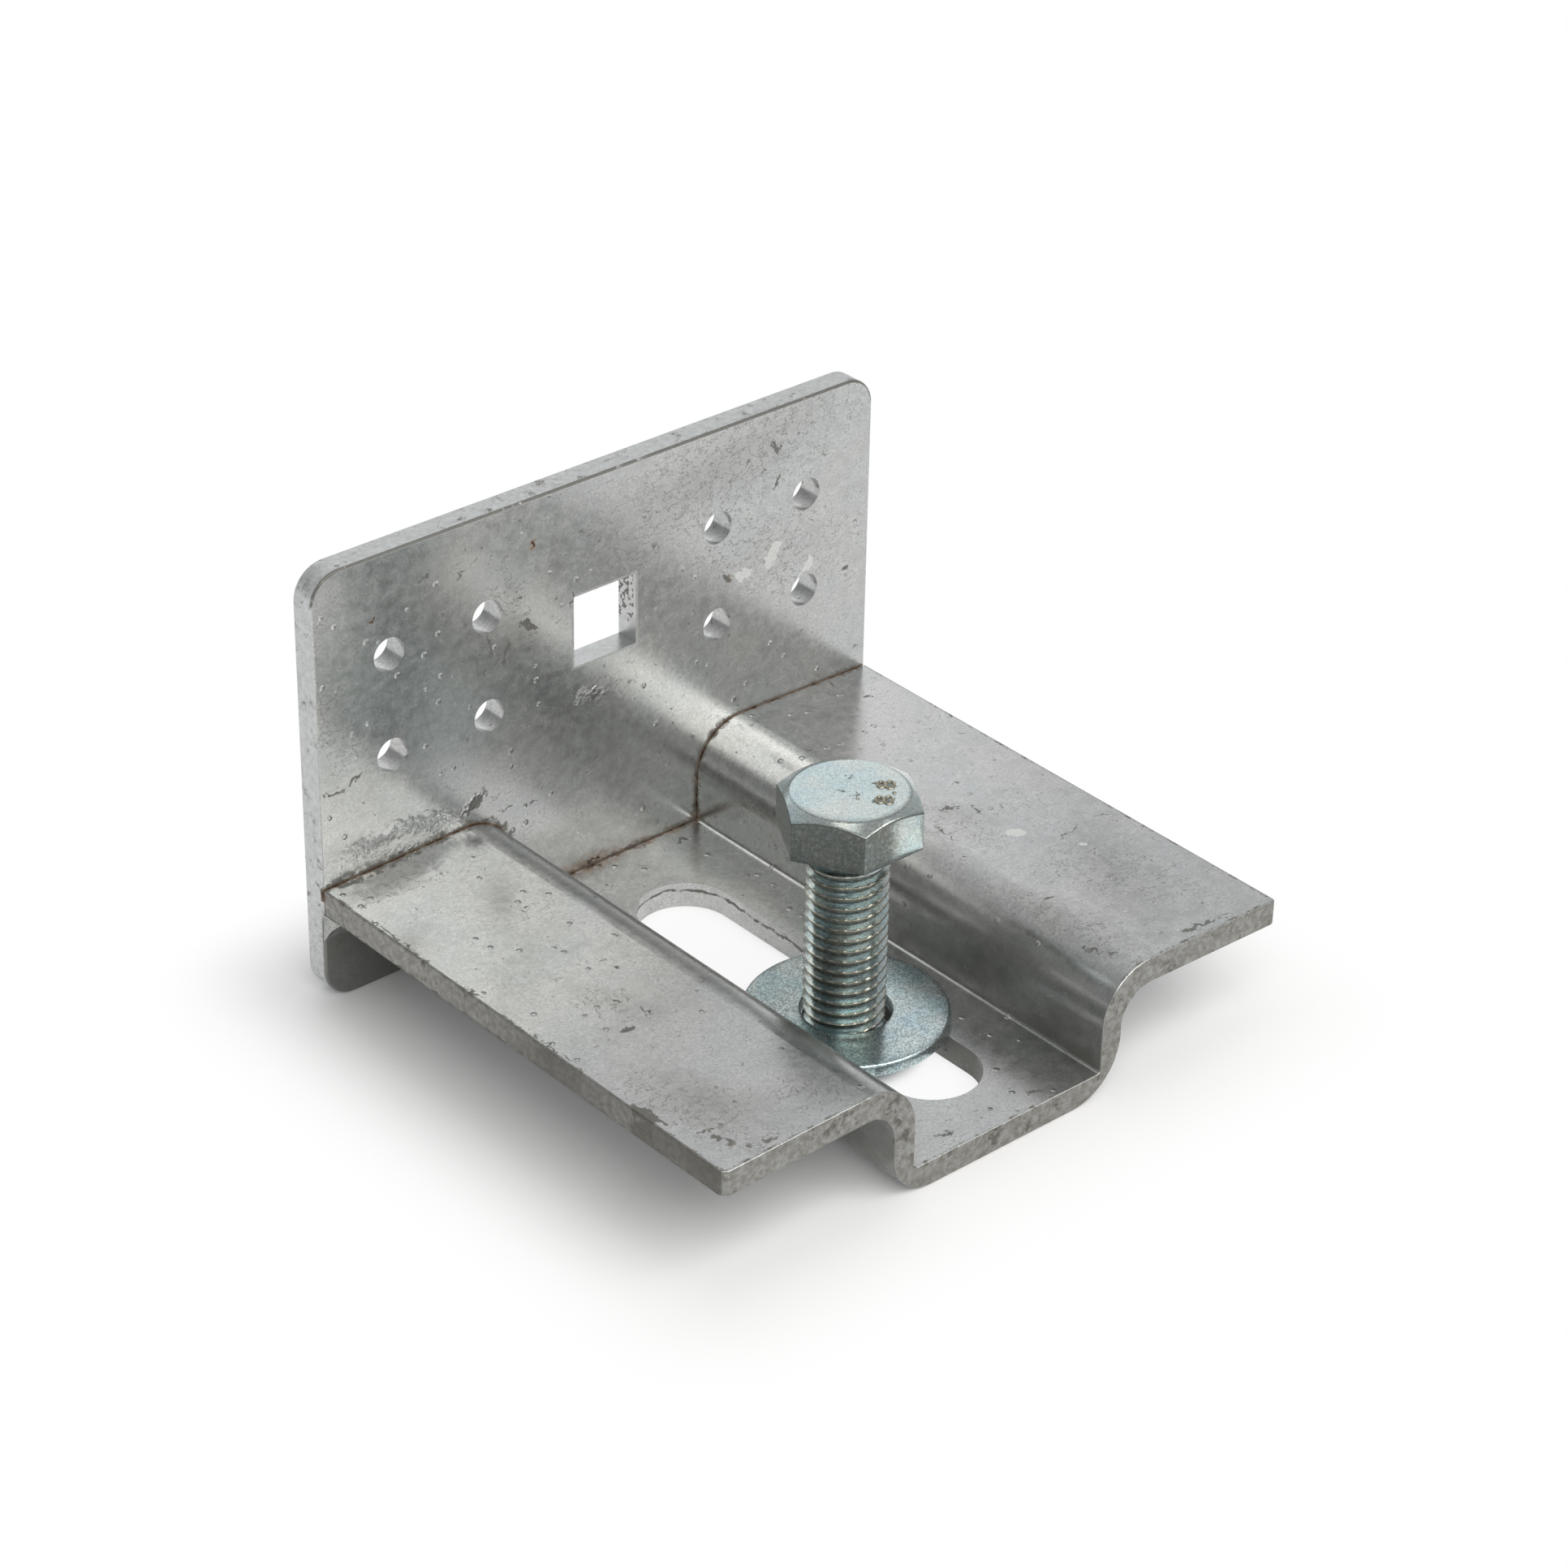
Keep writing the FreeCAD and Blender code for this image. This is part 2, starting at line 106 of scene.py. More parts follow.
def new_material(name):
    """An empty material, its node tree and its output node."""
    material = bpy.data.materials.new(name)
    material.use_nodes = True
    tree = material.node_tree
    tree.nodes.clear()
    return material, tree, tree.nodes.new("ShaderNodeOutputMaterial")


def add_piece(name, form, material):
    """An object with the form's mesh, in one material."""
    mesh = bpy.data.meshes.new(name)
    form.to_mesh(mesh)
    form.free()
    mesh.materials.append(material)
    piece = bpy.data.objects.new(name, mesh)
    bpy.context.scene.collection.objects.link(piece)
    return piece


BRACKET_OUTLINE = (46.0, 52.0, 46.0)
SLOT_LINE = (49.8, 0.0, 26.6)
paper, tree, output = new_material("matt_white_paper")
place = add_node(tree, "TexCoord").node.outputs["Object"]
distances = []
for middle, half_wide, half_deep in (BRACKET_OUTLINE, SLOT_LINE):
    beyond = add_node(tree, "VectorMath", {0: place, 1: (0, middle * MM, 0)}, operation="ADD")
    beyond = add_node(tree, "VectorMath", {0: beyond}, operation="ABSOLUTE")
    half = (half_wide * MM, half_deep * MM, 1)
    beyond = add_node(tree, "VectorMath", {0: beyond, 1: half}, operation="SUBTRACT")
    beyond = add_node(tree, "VectorMath", {0: beyond, 1: (0, 0, 0)}, operation="MAXIMUM")
    distances.append(add_node(tree, "VectorMath", {0: beyond}, operation="LENGTH"))
from_bracket, from_slot = distances
bolt_middle = (1.2 * MM, 59.2 * MM, 0)
from_bolt = add_node(tree, "VectorMath", {0: place, 1: bolt_middle}, operation="ADD")
from_bolt = add_node(tree, "VectorMath", {0: from_bolt}, operation="LENGTH")

far_off = add_node(tree, "MapRange", {"Value": from_bracket, 1: -2 * MM, 2: 24 * MM}, **SMOOTH)
# Painted light: under the slot, but not round the washer, the floor is painted white over the
# bracket's shadow
under_slot = {"Value": from_slot, 1: 6 * MM, 2: 12 * MM, 3: 0.85, 4: 0.0}
under_slot = add_node(tree, "MapRange", under_slot, **SMOOTH)
off_washer = add_node(tree, "MapRange", {"Value": from_bolt, 1: 9 * MM, 2: 13 * MM}, **SMOOTH)
under_slot = add_node(tree, "Math", {0: under_slot, 1: off_washer}, operation="MULTIPLY")
far_off = add_node(tree, "Math", {0: far_off, 1: under_slot}, operation="MAXIMUM")
rays = add_node(tree, "LightPath").node.outputs
seen = rays["Is Camera Ray"]
for ray in ("Is Glossy Ray", "Is Transmission Ray"):
    seen = add_node(tree, "Math", {0: seen, 1: rays[ray]}, operation="MAXIMUM")
whitened = add_node(tree, "Math", {0: far_off, 1: seen}, operation="MULTIPLY")
matt = add_node(tree, "BsdfDiffuse", {"Color": linear("#f6f6f6")})
white = add_node(tree, "Emission", {"Color": linear("#ffffff"), "Strength": 1.0})
surface = add_node(tree, "MixShader", {0: whitened, 1: matt, 2: white})
from_below = add_node(tree, "NewGeometry").node.outputs["Backfacing"]
clear = add_node(tree, "BsdfTransparent")
surface = add_node(tree, "MixShader", {0: from_below, 1: surface, 2: clear})
tree.links.new(surface, output.inputs["Surface"])

sheet = bmesh.new()
bmesh.ops.create_circle(sheet, cap_ends=True, segments=96, radius=3.0)
white_sheet = add_piece("white_sheet", sheet, paper)
white_sheet.location = (0, 0, -0.02 * MM)


# Studio: a pale room with a low white backdrop, brightest behind, and four softboxes. The wide one
# in front, over the camera, gives the bright bands that the right bend and the plate show.
world = bpy.data.worlds.new("pale_room")
bpy.context.scene.world = world
world.use_nodes = True
tree = world.node_tree
tree.nodes.clear()
direction = add_node(tree, "TexCoord").node.outputs["Generated"]
window = {0: direction, 1: (0.449, 0.778, 0.438)}
window = add_node(tree, "VectorMath", window, operation="DOT_PRODUCT")
window = add_node(tree, "MapRange", {"Value": window, 1: 0.3, 2: 1.0})
window = add_node(tree, "Math", {0: window, 1: window}, operation="MULTIPLY")
room_light = add_node(tree, "Math", {0: window, 1: 0.52, 2: 0.33}, operation="MULTIPLY_ADD")
height = add_node(tree, "SeparateXYZ", {0: direction}).node.outputs[2]
backdrop = add_node(tree, "MapRange", {"Value": height, 1: 0.14, 2: 0.24, 3: 1.0, 4: 0.0})
room_light = add_node(tree, "Math", {0: room_light, 1: backdrop}, operation="MAXIMUM")
background = add_node(tree, "Background", {"Color": linear("#fcfdff"), "Strength": room_light})
tree.links.new(background, tree.nodes.new("ShaderNodeOutputWorld").inputs["Surface"])

SOFTBOX_DISTANCE = 0.7
LIT_MIDDLE = Vector((0, -0.045, 0.02))


def add_softbox(name, compass, rise, width, height, brightness, colour):
    """A softbox facing the bracket. compass is degrees clockwise from straight behind, rise is
    degrees above the table, and a mirror would show it at brightness, where 1 is white."""
    turn, tilt = math.radians(compass), math.radians(rise)
    away = Vector((math.sin(turn) * math.cos(tilt), math.cos(turn) * math.cos(tilt), math.sin(tilt)))
    light = bpy.data.lights.new(name, "AREA")
    light.shape = "RECTANGLE"
    light.size = width
    light.size_y = height
    light.energy = 4 * brightness * width * height
    light.color = linear(colour)[:3]
    softbox = bpy.data.objects.new(name, light)
    softbox.location = LIT_MIDDLE + away * SOFTBOX_DISTANCE
    softbox.rotation_euler = away.to_track_quat("Z", "Y").to_euler()
    bpy.context.scene.collection.objects.link(softbox)


add_softbox("softbox_front", -170, 50, 0.90, 0.45, 2.40, "#fffefb")
add_softbox("softbox_front_right", 138, 47, 0.34, 0.38, 1.20, "#fffefb")
add_softbox("softbox_back", 25, 26, 0.54, 0.28, 0.30, "#fdfeff")
add_softbox("softbox_above", 0, 88, 0.19, 0.19, 1.0, "#fffaf2")


# Hot-dip galvanised steel: mild steel, pickled and dipped in molten zinc at 450 degrees. The skin
# is satin with a fine grain, nearly one tone, with rubbed scuffs, tiny raised specks of dross and
# crust by the seams. Where the dip could not run in, as in a tight seam, thin rust bleeds out.
def millimetres(tree):
    """The place on the piece in mm, in the bracket's own frame."""
    place = add_node(tree, "TexCoord").node.outputs["Object"]
    return add_node(tree, "VectorMath", {0: place, "Scale": 1000.0}, operation="SCALE")


def noise(tree, place, patch, detail, rough=0.5, stretch=(1, 1, 1)):
    """Noise whose patches are about so many mm across, stretched along each axis."""
    sides = [1 / (patch * side) for side in stretch]
    coarse = add_node(tree, "Mapping", {"Vector": place, "Location": (patch, 7, 3), "Scale": sides})
    pattern = {"Vector": coarse, "Scale": 1.0, "Detail": detail, "Roughness": rough}
    return add_node(tree, "TexNoise", pattern)


def ragged(tree, place):
    """The place moved about by half a millimetre, so that marks have torn edges."""
    shift = add_node(tree, "TexNoise", {"Vector": place, "Scale": 0.9, "Detail": 4.0})
    shift = shift.node.outputs["Color"]
    shift = add_node(tree, "VectorMath", {0: shift, 1: (0.5, 0.5, 0.5)}, operation="SUBTRACT")
    shift = add_node(tree, "VectorMath", {0: shift, "Scale": 3.2}, operation="SCALE")
    return add_node(tree, "VectorMath", {0: shift, 1: place}, operation="ADD")


def marks(tree, place, plane, depth, strokes):
    """The strongest of some soft strokes on a flat face, which is across and along, or across
    and up. A stroke is its two ends in mm, its width and its strength."""
    strongest = 0.0
    for across_1, along_1, across_2, along_2, width, strength in strokes:
        across, along = (across_1 + across_2) / 2, (along_1 + along_2) / 2
        turn = math.atan2(along_2 - along_1, across_2 - across_1)
        half = math.hypot(along_2 - along_1, across_2 - across_1) / 2 + width / 2
        if plane == "upright":
            centre, turned, reach = (across, depth, along), (0, -turn, 0), (half, 2, width / 2)
        else:
            centre, turned, reach = (across, along, depth), (0, 0, turn), (half, width / 2, 2)
        local = {"Vector": place, "Location": centre, "Rotation": turned, "Scale": reach}
        local = add_node(tree, "Mapping", local, vector_type="TEXTURE")
        oval = add_node(tree, "TexGradient", {"Vector": local}, gradient_type="SPHERICAL")
        oval = oval.node.outputs["Fac"]
        oval = add_node(tree, "Math", {0: oval, 1: strength}, operation="MULTIPLY")
        strongest = add_node(tree, "Math", {0: oval, 1: strongest}, operation="MAXIMUM")
    return strongest


def galvanise(tree, output, place, skin):
    """Zinc skin over a piece. skin gives what differs: its tints, smoothness and relief, and where
    it is cut, scuffed, dirty, darkened by painted shade and broad stains, pale, rusty or crusty."""
    cloud = noise(tree, place, skin["cloud"], 2.0)
    scuff = noise(tree, place, 2.0, 6.0, 0.68)
    smear = noise(tree, place, 5.0, 5.0, 0.62, (1.8, 1.0, 1.0))
    grain = noise(tree, place, 0.40, 3.0, 0.7)
    hair = noise(tree, place, 1.7, 5.0, 0.66, (1.6, 1.3, 1.0))

    # Tint: broad cool and warm clouds, then the grain
    tint = add_node(tree, "MapRange", {"Value": cloud, 1: 0.38, 2: 0.62}, **SMOOTH)
    zinc = {"Factor": tint, "A": linear(skin["cool"]), "B": linear(skin["warm"])}
    zinc = add_node(tree, "Mix", zinc, data_type="RGBA")
    wobble = add_node(tree, "Math", {0: scuff, 1: 0.9, 2: grain}, operation="MULTIPLY_ADD")
    wobble = add_node(tree, "Math", {0: smear, 1: 0.4, 2: wobble}, operation="MULTIPLY_ADD")
    wobble = {"Value": wobble, 1: 0.85, 2: 1.50, 3: 0.80, 4: 1.15}
    wobble = add_node(tree, "MapRange", wobble, **SMOOTH)
    zinc = add_node(tree, "VectorMath", {0: zinc, "Scale": wobble}, operation="SCALE")

    # Sheared edges: duller, with steel-brown patches under thin zinc
    patchy = noise(tree, place, 1.1, 6.0, 0.72)
    patchy = add_node(tree, "MapRange", {"Value": patchy, 1: 0.34, 2: 0.68}, **SMOOTH)
    edge = {"Factor": patchy, "A": linear(skin["cut_dark"]), "B": linear(skin["cut_light"])}
    edge = add_node(tree, "Mix", edge, data_type="RGBA")
    colour = add_node(tree, "Mix", {"Factor": skin["cut"], "A": zinc, "B": edge}, data_type="RGBA")

    # Scuffs: crooked hairlines in clusters, and rubbed-in dirt broken up by the zinc's texture
    line = add_node(tree, "Math", {0: hair, 1: 0.5}, operation="SUBTRACT")
    line = add_node(tree, "Math", {0: line}, operation="ABSOLUTE")
    line = add_node(tree, "MapRange", {"Value": line, 1: 0.014, 2: 0.003}, **SMOOTH)
    worn = add_node(tree, "Math", {0: scuff, 1: 1.3, 2: -0.65}, operation="MULTIPLY_ADD")
    rubbed = add_node(tree, "Math", {0: worn, 1: skin["scuffed"]}, operation="ADD")
    rubbed = add_node(tree, "Math", {0: smear, 1: 0.8, 2: rubbed}, operation="MULTIPLY_ADD")
    rubbed = add_node(tree, "Math", {0: rubbed, 1: 0.32}, operation="SUBTRACT")
    cluster = add_node(tree, "MapRange", {"Value": rubbed, 1: 0.04, 2: 0.38}, **SMOOTH)
    line = add_node(tree, "Math", {0: line, 1: cluster}, operation="MULTIPLY")
    stain = add_node(tree, "MapRange", {"Value": rubbed, 1: 0.25, 2: 0.95, 4: 0.38}, **SMOOTH)

    # Nicks 3.6 mm apart, speckle 2 mm apart, and over the dirt of the piece itself
    torn = ragged(tree, place)
    nick = add_node(tree, "TexVoronoi", {"Vector": torn, "Scale": 0.28})
    picked = add_node(tree, "SeparateColor", {0: nick.node.outputs["Color"]})
    picked = add_node(tree, "Math", {0: picked, 1: 0.45}, operation="GREATER_THAN")
    nick = add_node(tree, "MapRange", {"Value": nick, 1: 0.110, 2: 0.060, 4: 0.85}, **SMOOTH)
    nick = add_node(tree, "Math", {0: nick, 1: picked}, operation="MULTIPLY")
    speckle = add_node(tree, "TexVoronoi", {"Vector": torn, "Scale": 0.50})
    rare = add_node(tree, "SeparateColor", {0: speckle.node.outputs["Color"]})
    rare = add_node(tree, "MapRange", {"Value": rare, 1: 0.30, 2: 0.80, 4: 0.85}, **SMOOTH)
    speckle = add_node(tree, "MapRange", {"Value": speckle, 1: 0.125, 2: 0.060}, **SMOOTH)
    speckle = add_node(tree, "Math", {0: speckle, 1: rare}, operation="MULTIPLY")
    dirt = add_node(tree, "Math", {0: worn, 1: skin["dirt"]}, operation="ADD")
    dirt = add_node(tree, "MapRange", {"Value": dirt, 1: 0.34, 2: 0.52}, **SMOOTH)
    # The piece's own layer of painted shade and stains joins the dirt here
    for layer in (nick, speckle, line, stain, skin["film"]):
        dirt = add_node(tree, "Math", {0: dirt, 1: layer}, operation="MAXIMUM")
    soiled = add_node(tree, "Math", {0: dirt, 1: 0.82}, operation="MULTIPLY")

    # Flux or water dried pale, and rust: thin and brown at first, nearly black in the seam
    pale = add_node(tree, "Math", {0: worn, 1: 0.5, 2: skin["pale"]}, operation="MULTIPLY_ADD")
    pale = add_node(tree, "MapRange", {"Value": pale, 1: 0.16, 2: 0.26, 4: 0.65}, **SMOOTH)
    bleed = add_node(tree, "Math", {0: worn, 1: skin["rust"]}, operation="ADD")
    thin = add_node(tree, "MapRange", {"Value": bleed, 1: 0.10, 2: 0.60, 4: 0.70}, **SMOOTH)
    thick = add_node(tree, "MapRange", {"Value": bleed, 1: 0.50, 2: 0.85}, **SMOOTH)
    layers = ((soiled, "#45433a"), (pale, "#d9dad7"), (thin, "#83694b"), (thick, "#38251a"))
    for layer, tone in layers:
        colour = {"Factor": layer, "A": colour, "B": linear(tone)}
        colour = add_node(tree, "Mix", colour, data_type="RGBA")

    # What is covered no longer shines as metal does
    covered = add_node(tree, "Math", {0: dirt, 1: 0.6}, operation="MULTIPLY")
    for layer in (thin, thick, pale):
        covered = add_node(tree, "Math", {0: covered, 1: layer}, operation="MAXIMUM")
    metal = add_node(tree, "MapRange", {"Value": covered, 3: skin["metal"], 4: 0.0}, **SMOOTH)
    smoothest, roughest = skin["rough"]
    rough = {"Value": scuff, 1: 0.30, 2: 0.70, 3: smoothest, 4: roughest}
    rough = add_node(tree, "MapRange", rough, **SMOOTH)
    for layer, roughness in ((skin["cut"], 0.5), (covered, 0.7)):
        layer = add_node(tree, "Math", {0: layer, 1: roughness}, operation="MULTIPLY")
        rough = add_node(tree, "Math", {0: rough, 1: layer}, operation="MAXIMUM")

    # Relief in mm: raised specks of dross, clouds, waves, grain and crust
    dross = add_node(tree, "TexVoronoi", {"Vector": place, "Scale": 0.40})
    chosen = add_node(tree, "SeparateColor", {0: dross.node.outputs["Color"]})
    chosen = add_node(tree, "Math", {0: chosen, 1: 0.76}, operation="GREATER_THAN")
    dross = add_node(tree, "MapRange", {"Value": dross, 1: 0.22, 2: 0.09, 4: 0.12}, **SMOOTH)
    relief = add_node(tree, "Math", {0: dross, 1: chosen}, operation="MULTIPLY")
    wave = noise(tree, place, 2.5, 1.0)
    crumbs = noise(tree, place, 0.9, 4.0, 0.6)
    forms = ((cloud, 0.10), (wave, skin["ripple"]), (grain, skin["peel"]), (crumbs, skin["crust"]))
    for form, high in forms:
        relief = add_node(tree, "Math", {0: form, 1: high, 2: relief}, operation="MULTIPLY_ADD")
    bump = add_node(tree, "Bump", {"Height": relief, "Distance": MM, "Strength": 1.0})
    zinc_shader = {"Base Color": colour, "Metallic": metal, "Roughness": rough, "Normal": bump}
    zinc_shader = add_node(tree, "BsdfPrincipled", zinc_shader)
    tree.links.new(zinc_shader, output.inputs["Surface"])


# Back plate: 4 mm plate with punched nail holes and a square hole, dipped with the channel
# already welded on. Its front mirrors the channel's bends, and it is crusty above the left seam.
SATIN_ZINC = {
    "cloud": 17.0,
    "cool": "#bdbfbe",
    "warm": "#c1c1bf",
    "metal": 0.88,
    "rough": (0.19, 0.27),
    "ripple": 0.003,
}
FINE_PEEL = 0.0008


def seam_rust(tree, place, from_seam, sideways, bleed, gap):
    """Rust out of a dry seam: it bleeds in patches, most at the trough, and fills the gap. bleed
    and gap are each its reach in mm and its strength."""
    patches = noise(tree, place, 4.0, 4.0)
    patches = add_node(tree, "MapRange", {"Value": patches, 1: 0.46, 2: 0.62}, **SMOOTH)
    at_trough = {"Value": sideways, 1: 26.0, 2: 14.0, 3: 0.4}
    at_trough = add_node(tree, "MapRange", at_trough, **SMOOTH)
    rust = {"Value": from_seam, 1: bleed[0], 2: 0.0, 4: bleed[1]}
    rust = add_node(tree, "MapRange", rust, **SMOOTH)
    for mask in (patches, at_trough):
        rust = add_node(tree, "Math", {0: rust, 1: mask}, operation="MULTIPLY")
    in_gap = {"Value": from_seam, 1: gap[0], 2: 0.0, 4: gap[1]}
    in_gap = add_node(tree, "MapRange", in_gap, **SMOOTH)
    return add_node(tree, "Math", {0: rust, 1: in_gap}, operation="MAXIMUM")


plate_low, plate_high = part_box("back_plate")
PLATE_FRONT = round(plate_low.y / MM, 2)
PLATE_SIDE = round(plate_high.x / MM, 2)
PLATE_MIDDLE = round(plate_high.z / MM / 2, 2)
plate_zinc, tree, output = new_material("galvanised_steel_plate")
place = millimetres(tree)
torn = ragged(tree, place)
x, y, z = add_node(tree, "SeparateXYZ", {0: place}).node.outputs
sideways = add_node(tree, "Math", {0: x}, operation="ABSOLUTE")
facing = add_node(tree, "NewGeometry").node.outputs["Normal"]
facing = add_node(tree, "SeparateXYZ", {0: facing}).node.outputs
flat_on = add_node(tree, "Math", {0: facing[1]}, operation="ABSOLUTE")
front = {"Value": y, 1: PLATE_FRONT + 0.8, 2: PLATE_FRONT + 0.3}
front = add_node(tree, "MapRange", front, **SMOOTH)

# The sheared outside edges are dull; the punched holes' walls are bright
from_middle = add_node(tree, "Math", {0: z, 1: PLATE_MIDDLE}, operation="SUBTRACT")
from_middle = add_node(tree, "Math", {0: from_middle}, operation="ABSOLUTE")
at_side = {"Value": sideways, 1: PLATE_SIDE - 0.55, 2: PLATE_SIDE - 0.15}
at_side = add_node(tree, "MapRange", at_side, **SMOOTH)
at_top = add_node(tree, "MapRange", {"Value": from_middle, 1: 29.0, 2: 30.5}, **SMOOTH)
outside = add_node(tree, "Math", {0: at_side, 1: at_top}, operation="MAXIMUM")
cut_face = add_node(tree, "MapRange", {"Value": flat_on, 1: 0.9, 2: 0.5}, **SMOOTH)
cut_face = add_node(tree, "Math", {0: cut_face, 1: outside}, operation="MULTIPLY")

# How far a point of the front is above the channel's end, which has the shape of a rounded hat
FLOOR_TOP = 4.1
BEND_OUTSIDE = 8.4
BEND_START = 26.1
BEND_LEVEL = 12.04
FLANGE_DROOP = 0.025
past_bend = add_node(tree, "Math", {0: BEND_START, 1: sideways}, operation="SUBTRACT")
past_bend = add_node(tree, "Math", {0: past_bend, 1: 0.0}, operation="MAXIMUM")
drooped = {0: sideways, 1: FLANGE_DROOP, 2: -BEND_LEVEL}
drooped = add_node(tree, "Math", drooped, operation="MULTIPLY_ADD")
above_bend = add_node(tree, "Math", {0: z, 1: drooped}, operation="ADD")
above_bend = add_node(tree, "Math", {0: above_bend, 1: 0.0}, operation="MAXIMUM")
corner = add_node(tree, "CombineXYZ", {0: past_bend, 1: above_bend})
corner = add_node(tree, "VectorMath", {0: corner}, operation="LENGTH")
to_flange = add_node(tree, "Math", {0: corner, 1: BEND_OUTSIDE}, operation="SUBTRACT")
to_floor = add_node(tree, "Math", {0: z, 1: FLOOR_TOP}, operation="SUBTRACT")
from_seam = add_node(tree, "Math", {0: to_flange, 1: to_floor}, operation="MINIMUM")
by_seam = add_node(tree, "Math", {0: from_seam, 1: -2.0}, operation="GREATER_THAN")
by_seam = add_node(tree, "Math", {0: by_seam, 1: front}, operation="MULTIPLY")

# Rust at the seams and in a few spots
PLATE_RUST = [
    (-17.0, 5.0, 8.0, 5.0, 4.0, 0.44),
    (-41.3, 60.2, -41.7, 59.2, 0.9, 1.5),
    (-12.7, 62.6, -13.2, 61.2, 1.9, 1.1),
    (23.6, 44.4, 24.4, 43.4, 1.0, 0.8),
    (-7.2, 5.0, 1.5, 4.5, 1.6, 1.0),
]
rust = seam_rust(tree, place, from_seam, sideways, (1.6, 0.60), (0.30, 0.66))
rust = add_node(tree, "Math", {0: rust, 1: by_seam}, operation="MULTIPLY")
spots = marks(tree, torn, "upright", PLATE_FRONT, PLATE_RUST)
rust = add_node(tree, "Math", {0: rust, 1: spots}, operation="MAXIMUM")

# Grime along the upper arris, in the pits high in the square hole, and out of the seams
arris = add_node(tree, "Math", {0: y, 1: PLATE_FRONT + 0.1, 2: 0.28}, operation="COMPARE")
near_top = add_node(tree, "MapRange", {"Value": z, 1: 61.0, 2: 67.0, 4: 0.62}, **SMOOTH)
arris = add_node(tree, "Math", {0: arris, 1: near_top}, operation="MULTIPLY")
rim = add_node(tree, "MapRange", {"Value": flat_on, 1: 0.999, 2: 0.93, 4: 0.24}, **SMOOTH)
rim = add_node(tree, "Math", {0: rim, 1: arris}, operation="MAXIMUM")
off_face = add_node(tree, "MapRange", {"Value": flat_on, 1: 0.9995, 2: 0.97}, **SMOOTH)
for mask in (off_face, outside):
    rim = add_node(tree, "Math", {0: rim, 1: mask}, operation="MULTIPLY")
in_square = add_node(tree, "MapRange", {"Value": sideways, 1: 6.3, 2: 6.2}, **SMOOTH)
at_square = add_node(tree, "Math", {0: z, 1: 45.0, 2: 6.2}, operation="COMPARE")
in_square = add_node(tree, "Math", {0: in_square, 1: at_square}, operation="MULTIPLY")
dull = add_node(tree, "Math", {0: in_square, 1: 0.7}, operation="MULTIPLY")
cut_face = add_node(tree, "Math", {0: cut_face, 1: dull}, operation="MAXIMUM")
pits = noise(tree, place, 0.8, 3.0)
pits = add_node(tree, "MapRange", {"Value": pits, 1: 0.52, 2: 0.57}, **SMOOTH)
behind_lip = {"Value": y, 1: PLATE_FRONT + 0.4, 2: PLATE_FRONT + 0.8}
behind_lip = add_node(tree, "MapRange", behind_lip, **SMOOTH)
high_up = add_node(tree, "MapRange", {"Value": z, 1: 40.5, 2: 45.0, 3: 0.15}, **SMOOTH)
for mask in (behind_lip, high_up, in_square):
    pits = add_node(tree, "Math", {0: pits, 1: mask}, operation="MULTIPLY")
creep = add_node(tree, "MapRange", {"Value": from_seam, 1: 3.0, 2: 0.0}, **SMOOTH)
to_left = add_node(tree, "MapRange", {"Value": x, 1: -20.0, 2: 0.0, 3: 0.48, 4: 0.30}, **SMOOTH)
for mask in (to_left, by_seam):
    creep = add_node(tree, "Math", {0: creep, 1: mask}, operation="MULTIPLY")
PLATE_DIRT = [
    (-50.0, 17.6, -40.0, 18.6, 2.8, 0.56),
    (-42.0, 18.4, -24.0, 19.4, 2.2, 0.50),
    (-21.3, 50.9, -21.1, 47.2, 0.7, 1.5),
    (-21.2, 47.4, -20.4, 46.9, 0.6, 1.4),
    (-17.3, 48.4, -19.2, 44.1, 0.9, 1.6),
    (-22.2, 44.6, -22.2, 43.8, 1.0, 1.4),
    (-16.2, 50.6, -12.3, 47.2, 2.2, 1.0),
    (-26.6, 22.0, -22.8, 24.6, 1.5, 1.3),
    (-51.4, 34.2, -46.6, 34.8, 0.9, 1.2),
    (-47.0, 34.9, -43.4, 36.0, 0.8, 1.4),
    (-5.4, 34.0, -0.3, 33.2, 2.0, 0.9),
    (22.0, 44.9, 24.6, 43.2, 1.5, 1.2),
    (31.3, 64.0, 34.2, 61.8, 1.1, 1.2),
    (29.8, 59.7, 31.3, 59.4, 0.8, 1.1),
    (31.9, 55.8, 34.2, 58.6, 0.9, 1.1),
    (46.2, 37.4, 47.7, 37.9, 0.7, 1.2),
    (-24.9, 62.2, -27.1, 61.0, 0.7, 1.0),
    (-34.2, 62.7, -31.3, 63.2, 0.8, 0.9),
    (-5.9, 51.9, -6.0, 49.8, 0.7, 1.3),
    (-26.2, 47.9, -25.8, 47.7, 0.6, 1.2),
    (-21.8, 20.8, -16.3, 19.4, 0.9, 0.7),
    (-16.3, 19.4, -11.0, 19.2, 0.8, 0.7),
]
dirt = marks(tree, torn, "upright", PLATE_FRONT, PLATE_DIRT)
for layer in (rim, pits, creep):
    dirt = add_node(tree, "Math", {0: dirt, 1: layer}, operation="MAXIMUM")

# Painted shade on the front below the flanges, and broad stains
PLATE_STAINS = [
    (4.0, 60.0, 40.0, 66.0, 15.0, 0.30),
    (-50.0, 20.0, -28.0, 19.6, 5.0, 0.46),
    (-17.0, 6.0, 10.0, 5.6, 5.0, 0.26),
    (-17.0, 50.0, -14.0, 47.0, 6.0, 0.32),
    (-5.0, 34.0, 0.0, 33.6, 5.0, 0.26),
]
# Painted shade: the front below the flanges is darkened, standing in for the flanges' shadow
film = add_node(tree, "MapRange", {"Value": from_seam, 1: -4.0, 2: -5.5, 4: 0.85}, **SMOOTH)
film = add_node(tree, "Math", {0: film, 1: front}, operation="MULTIPLY")
stained = marks(tree, place, "upright", PLATE_FRONT, PLATE_STAINS)
film = add_node(tree, "Math", {0: film, 1: stained}, operation="MAXIMUM")

